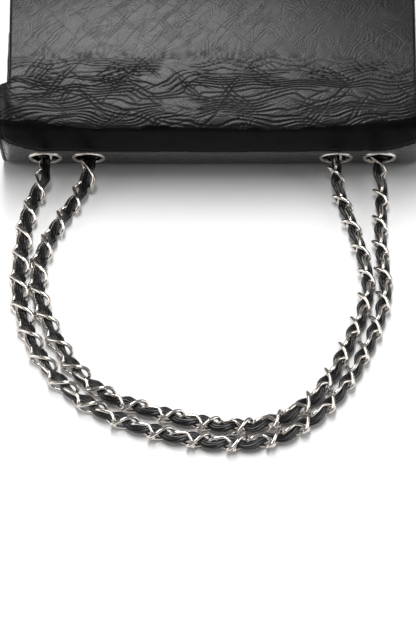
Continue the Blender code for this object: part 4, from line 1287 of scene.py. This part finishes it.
class FLAPBAG_OT_body(BagOperator):
    """Leather of the back, base and front, in one shell that turns in at the mouth"""
    bl_idname = "flapbag.body"
    bl_label = "Body leather"

    def build(self, sizes, colours):
        leather = leather_material("body leather", tuple(colours.leather), 0.3, 0.3, 1.0 * MM, fine=3.5)
        rows = body_section(0.0)
        share = np.linspace(-1, 1, 190)
        y, z, turn = [rows[:, k:k + 1] for k in range(3)]
        half = body_half_width(y, z) - 0.8 * MM
        across = share[None] * half
        along = travelled(rows[:, :2])[:, None] + 0 * across
        lift = waves(across, along, 0.3, 30, 24, 51) + waves(across, along, 0.12, 10, 8, 52)
        lift = lift * eased(z, *FREE_OF_TABLE)
        puff = BASE_PUFF * bell(z, BASE_PUFF_AT, BASE_PUFF_WIDTH) * (y > BASE_FROM) * (1 - share ** 4)
        fall = -BODY_FALL * rounded_off(edge_share(share, 1, 1 - BODY_FALL_FROM))
        out = outwards(turn)
        under = eased(z, *UNDER_FLAP) * (y < UNDER_FLAP_TO)
        height = lift * (1 - 0.6 * under) + puff + fall - UNDER_FLAP_DROP * under
        grid = grid_points(across, y, z) + out * height[..., None]
        grid[..., 2] = np.maximum(grid[..., 2], 0.05 * MM)
        points, faces, flat = sheet_with_rolled_edge(grid, out + 0 * grid, 1.2 * MM, 7 * MM,
                                                     np.stack([across, along], -1))
        piece = put_mesh("body_leather", points, faces, leather, flat)
        close_seams(piece)
        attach(piece, "bag")
        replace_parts(piece, "back_panel", "base_panel", "front_panel")
        for side, word in SIDES:
            make_gusset(side, word, leather)
            make_piping(side, word, leather)


class FLAPBAG_OT_inside(BagOperator):
    """Lining of the flap and the body, the facing of the mouth and the inside pocket"""
    bl_idname = "flapbag.inside"
    bl_label = "Lining and pocket"

    def build(self, sizes, colours):
        lining = leather_material("smooth lining leather", tuple(colours.lining), 0.5, 0.3, 0.4 * MM)
        leather = leather_material("facing leather", tuple(colours.leather), 0.32, 0.3, 1.0 * MM)
        self.flap_lining(sizes, lining)
        for side, word in SIDES:
            make_side_lining(side, word, lining)
        self.flat_lining("back", lining)
        self.flat_lining("base", lining)
        self.crown_lining("front_lining", "lining_front", 9.1 * MM, 0.25, lining, "lining_leather")
        self.crown_lining("mouth_edge", "mouth_facing", 8.2 * MM, 0.1, leather, "black_leather")
        self.pocket(lining)

    def soft_sheet(self, name, node, grid, inward, flat, material, slot, edge=0.38 * MM):
        """A soft sheet that stands for a node: its visible side is the grid, and its border rolls
        under, away from the bag's inside."""
        points, faces, flat = sheet_with_rolled_edge(grid, inward + 0 * grid, edge, 3 * MM, flat)
        piece = put_mesh(name, points, faces, material, flat)
        close_seams(piece)
        normals = np.array([face.normal for face in piece.data.polygons[:200]])
        if (normals @ np.asarray(inward).reshape(-1, 3)[0]).mean() < 0:
            piece.data.flip_normals()
        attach(piece, "bag")
        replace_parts(piece, node)

    def flat_lining(self, word, lining):
        """The lining of the back, which lies flat, or of the base, which stands: an even sheet in
        its node's box, lifted a little by slow waves. The back one widens towards the base."""
        low, high = [np.array(corner) + 0.3 * MM * sign
                     for corner, sign in zip(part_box("lining_" + word), (1, -1))]
        down = np.linspace(0, 1, 70)[:, None]
        share = np.linspace(-1, 1, 130)[None]
        if word == "back":
            y, z = low[1] + (high[1] - low[1]) * down, high[2] + 0.1 * MM
            half, inward = high[0] - SIDE_SPREAD * (high[1] - y), np.array([0, 0, 1.0])
        else:
            y, z = low[1] - 0.1 * MM, low[2] + (high[2] - low[2]) * down
            half, inward = high[0], np.array([0, -1.0, 0])
        across = share * half + 0 * down
        length = down * np.linalg.norm((high - low)[1:]) + 0 * across
        lift = 0.1 * MM + waves(across, length, 0.1, 26, 22, 82)
        grid = grid_points(across, y, z) + inward * lift[..., None]
        self.soft_sheet(word + "_lining", "lining_" + word, grid, inward, np.stack([across, length], -1),
                        lining, "lining_leather")

    def crown_lining(self, name, node, inset, wave, material, slot):
        """A sheet under the crowned front: the section's arc at the inset, over the node's length,
        with slow waves towards the inside, whose height is in mm."""
        low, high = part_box(node)
        radius = CROWN_RADIUS - inset
        ends = np.arccos((CROWN_Y - np.array([low[1] + 0.3 * MM, high[1] - 0.3 * MM])) / radius)
        turn = np.linspace(ends[0], ends[1], 60)[:, None]
        y, z = CROWN_Y - radius * np.cos(turn), CROWN_Z + radius * np.sin(turn)
        across = np.linspace(-1, 1, 130)[None] * (high[0] - 0.3 * MM - SIDE_SPREAD * (high[1] - y))
        length = (turn - ends[0]) * radius + 0 * across
        inward = -outwards(turn)
        lift = wave * MM + waves(across, length, wave, 28, 20, 83)
        grid = grid_points(across, y, z) + inward * lift[..., None]
        self.soft_sheet(name, node, grid, inward, np.stack([across, length], -1), material, slot)

    def pocket(self, lining):
        """A patch pocket on the back lining: flat at its three sewn edges, rising on an S curve to
        its full depth, a little slack in the middle, and open towards the mouth."""
        low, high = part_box("inside_pocket")
        x = np.linspace(low[0] + 0.5 * MM, high[0] - 0.5 * MM, 140)[None]
        y = np.linspace(low[1] + 0.5 * MM, high[1] - 0.5 * MM, 90)[:, None]
        rise = eased(high[0] - np.abs(x), 3 * MM, 15 * MM) * eased(high[1] - y, 3 * MM, 15 * MM)
        slack = waves(x, y, 0.5, 30, 24, 84) - 1.2 * MM * bell(x, 0, 40 * MM) * eased(y, 20 * MM, low[1])
        z = low[2] + 0.9 * MM + rise * (high[2] - low[2] - 1.7 * MM + slack)
        z = z + 0.6 * MM * rise * bell(y, low[1], 5 * MM)
        grid = grid_points(x + 0 * z, y, z)
        flat = grid[..., :2] + 0.3
        self.soft_sheet("patch_pocket", "inside_pocket", grid, np.array([0, 0, 1.0]), flat, lining,
                        "lining_leather", 0.4 * MM)

    def flap_lining(self, sizes, lining):
        """The flap's underside: the section moved inwards, drawn in from the turned edge."""
        along = np.arange(1.5 * MM, FLAP_LENGTH - 3 * MM, 1.5 * MM)
        y, z, turn = top_section(along)
        y, z = moved_in(y, z, turn, 3.0 * MM)
        half = flap_half_width(along, y, sizes) - 1.2 * MM
        share = np.linspace(-1, 1, 170)
        across = share[None] * half[:, None]
        inward = -outwards(turn)[:, None]
        length = along[:, None] + 0 * across
        lift = waves(across, length, 0.12, 30, 24, 81)
        grid = grid_points(across, y[:, None], z[:, None]) + inward * lift[..., None]
        flat = np.stack([across, length], -1)
        points, faces, flat = sheet_with_rolled_edge(grid[:, ::-1], inward + 0 * grid, 0.4 * MM, 3 * MM,
                                                     flat[:, ::-1])
        piece = put_mesh("flap_underside", points, faces, lining, flat)
        close_seams(piece)
        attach(piece, "flap")
        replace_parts(piece, "flap_lining")


class FLAPBAG_OT_metal(BagOperator):
    """Rolled eyelets, and the finish of washers, magnets and boards"""
    bl_idname = "flapbag.metal"
    bl_label = "Eyelets and hidden parts"

    def build(self, sizes, colours):
        silver = metal_material("polished silver eyelets", tuple(colours.silver), 0.13)
        plated = metal_material("plated magnet metal", tuple(colours.plated), 0.3)
        board = board_material("bonded board", tuple(colours.board))
        turn = np.linspace(0, 2 * math.pi, 97)[:-1]
        middle, half = (EYELET_RADIUS + EYELET_HOLE_RADIUS) / 2, (EYELET_RADIUS - EYELET_HOLE_RADIUS) / 2
        bow = np.radians(np.linspace(0, 180, 13))
        radius = np.concatenate([middle + half * np.cos(bow), [EYELET_HOLE_RADIUS] * 2,
                                 [EYELET_HOLE_RADIUS + EYELET_BARREL_WALL] * 2])
        deep = -EYELET_BARREL_DEPTH
        height = np.concatenate([EYELET_RIM_HEIGHT * np.sin(bow) + 0.1 * MM,
                                 [deep / 2, deep, deep, -0.1 * MM]])
        first = np.array([1.0, 0, 0])
        for word, x in EYELET_X.items():
            circle = (first * np.cos(turn)[:, None] + STRIP_DOWN * np.sin(turn)[:, None])[None]
            centre = STRIP_CENTRE + np.array([x, 0, 0])
            points = centre + circle * radius[:, None, None] + STRIP_NORMAL * height[:, None, None]
            rows, columns = points.shape[:2]
            faces = grid_faces(rows + 1, columns, ring=True) % (rows * columns)
            piece = put_mesh("eyelet_rim_" + word, points, faces, silver)
            close_seams(piece)
            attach(piece, "bag")
            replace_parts(piece, "eyelet_" + word)
        finishes = {"washer": silver, "flap_magnet": plated, "front_magnet": plated,
                    "flap_board": board, "base_board": board}
        for name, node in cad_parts.items():
            for start, material in finishes.items():
                if name.startswith(start):
                    node.data.materials.clear()
                    node.data.materials.append(material)


class FLAPBAG_OT_stage(BagOperator):
    """Pale table, soft lights and the camera"""
    bl_idname = "flapbag.stage"
    bl_label = "Table, lights and camera"

    def build(self, sizes, colours):
        material = new_material("pale table", tuple(colours.table), 0.9, 0.0, 0.0)[0]
        corners = np.array([(-1, -1, 0), (1, -1, 0), (1, 1, 0), (-1, 1, 0)]) * TABLE_HALF
        floor = put_mesh("table", corners - np.array([0, 0, TABLE_DROP]), [[0, 1, 2, 3]], material)
        for name, place, size, radiance, aim in LAMPS:
            self.lamp(name, place, size, radiance, aim)
        scene = bpy.context.scene
        world = bpy.data.worlds.new("studio")
        world.use_nodes = True
        sky = world.node_tree.nodes["Background"]
        sky.inputs["Color"].default_value = (1, 1, 1, 1)
        sky.inputs["Strength"].default_value = SKY_STRENGTH
        scene.world = world
        camera = bpy.data.cameras.new("camera")
        camera.sensor_width = SENSOR_WIDTH
        camera.lens = SENSOR_WIDTH * FOCAL_PIXELS / PICTURE_HEIGHT
        holder = bpy.data.objects.new("camera", camera)
        scene.collection.objects.link(holder)
        holder.location = CAMERA_PLACE
        holder.rotation_euler = (CAMERA_TILT, 0, 0)
        scene.camera = holder
        scene.view_settings.view_transform = "Standard"

    def lamp(self, name, place, size, radiance, aim):
        """A rectangular soft box that faces its aim, or down: its power is radiance times pi
        times its area."""
        data = bpy.data.lights.new(name, "AREA")
        data.shape = "RECTANGLE"
        data.size, data.size_y = size
        data.energy = radiance * math.pi * size[0] * size[1]
        lamp = bpy.data.objects.new(name, data)
        bpy.context.scene.collection.objects.link(lamp)
        lamp.location = place
        if aim:
            away = mathutils.Vector(place) - mathutils.Vector(aim)
            lamp.rotation_euler = away.to_track_quat("Z", "Y").to_euler()


class FLAPBAG_PT_panel(bpy.types.Panel):
    """Lists the bag's operators and settings"""
    bl_label = "Flap bag"
    bl_idname = "FLAPBAG_PT_panel"
    bl_space_type = "VIEW_3D"
    bl_region_type = "UI"
    bl_category = "Flap bag"

    def draw(self, context):
        for operator in OPERATORS:
            self.layout.operator(operator.bl_idname)
        for group in (context.scene.flapbag_sizes, context.scene.flapbag_colours):
            for name in group.__annotations__:
                self.layout.prop(group, name)


OPERATORS = (FLAPBAG_OT_stage, FLAPBAG_OT_straps, FLAPBAG_OT_top_leather, FLAPBAG_OT_body,
             FLAPBAG_OT_inside, FLAPBAG_OT_metal)
CLASSES = (FLAPBAG_PG_colours, FLAPBAG_PG_sizes) + OPERATORS + (FLAPBAG_PT_panel,)


def register():
    """Adds the classes, and the settings to the scene."""
    for item in CLASSES:
        bpy.utils.register_class(item)
    bpy.types.Scene.flapbag_sizes = bpy.props.PointerProperty(type=FLAPBAG_PG_sizes)
    bpy.types.Scene.flapbag_colours = bpy.props.PointerProperty(type=FLAPBAG_PG_colours)


def unregister():
    """Takes the settings and the classes away again."""
    del bpy.types.Scene.flapbag_colours
    del bpy.types.Scene.flapbag_sizes
    for item in reversed(CLASSES):
        bpy.utils.unregister_class(item)


def main():
    """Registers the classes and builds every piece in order."""
    register()
    bpy.ops.flapbag.stage()
    bpy.ops.flapbag.straps()
    bpy.ops.flapbag.top_leather()
    bpy.ops.flapbag.body()
    bpy.ops.flapbag.inside()
    bpy.ops.flapbag.metal()


if __name__ == "__main__":
    main()
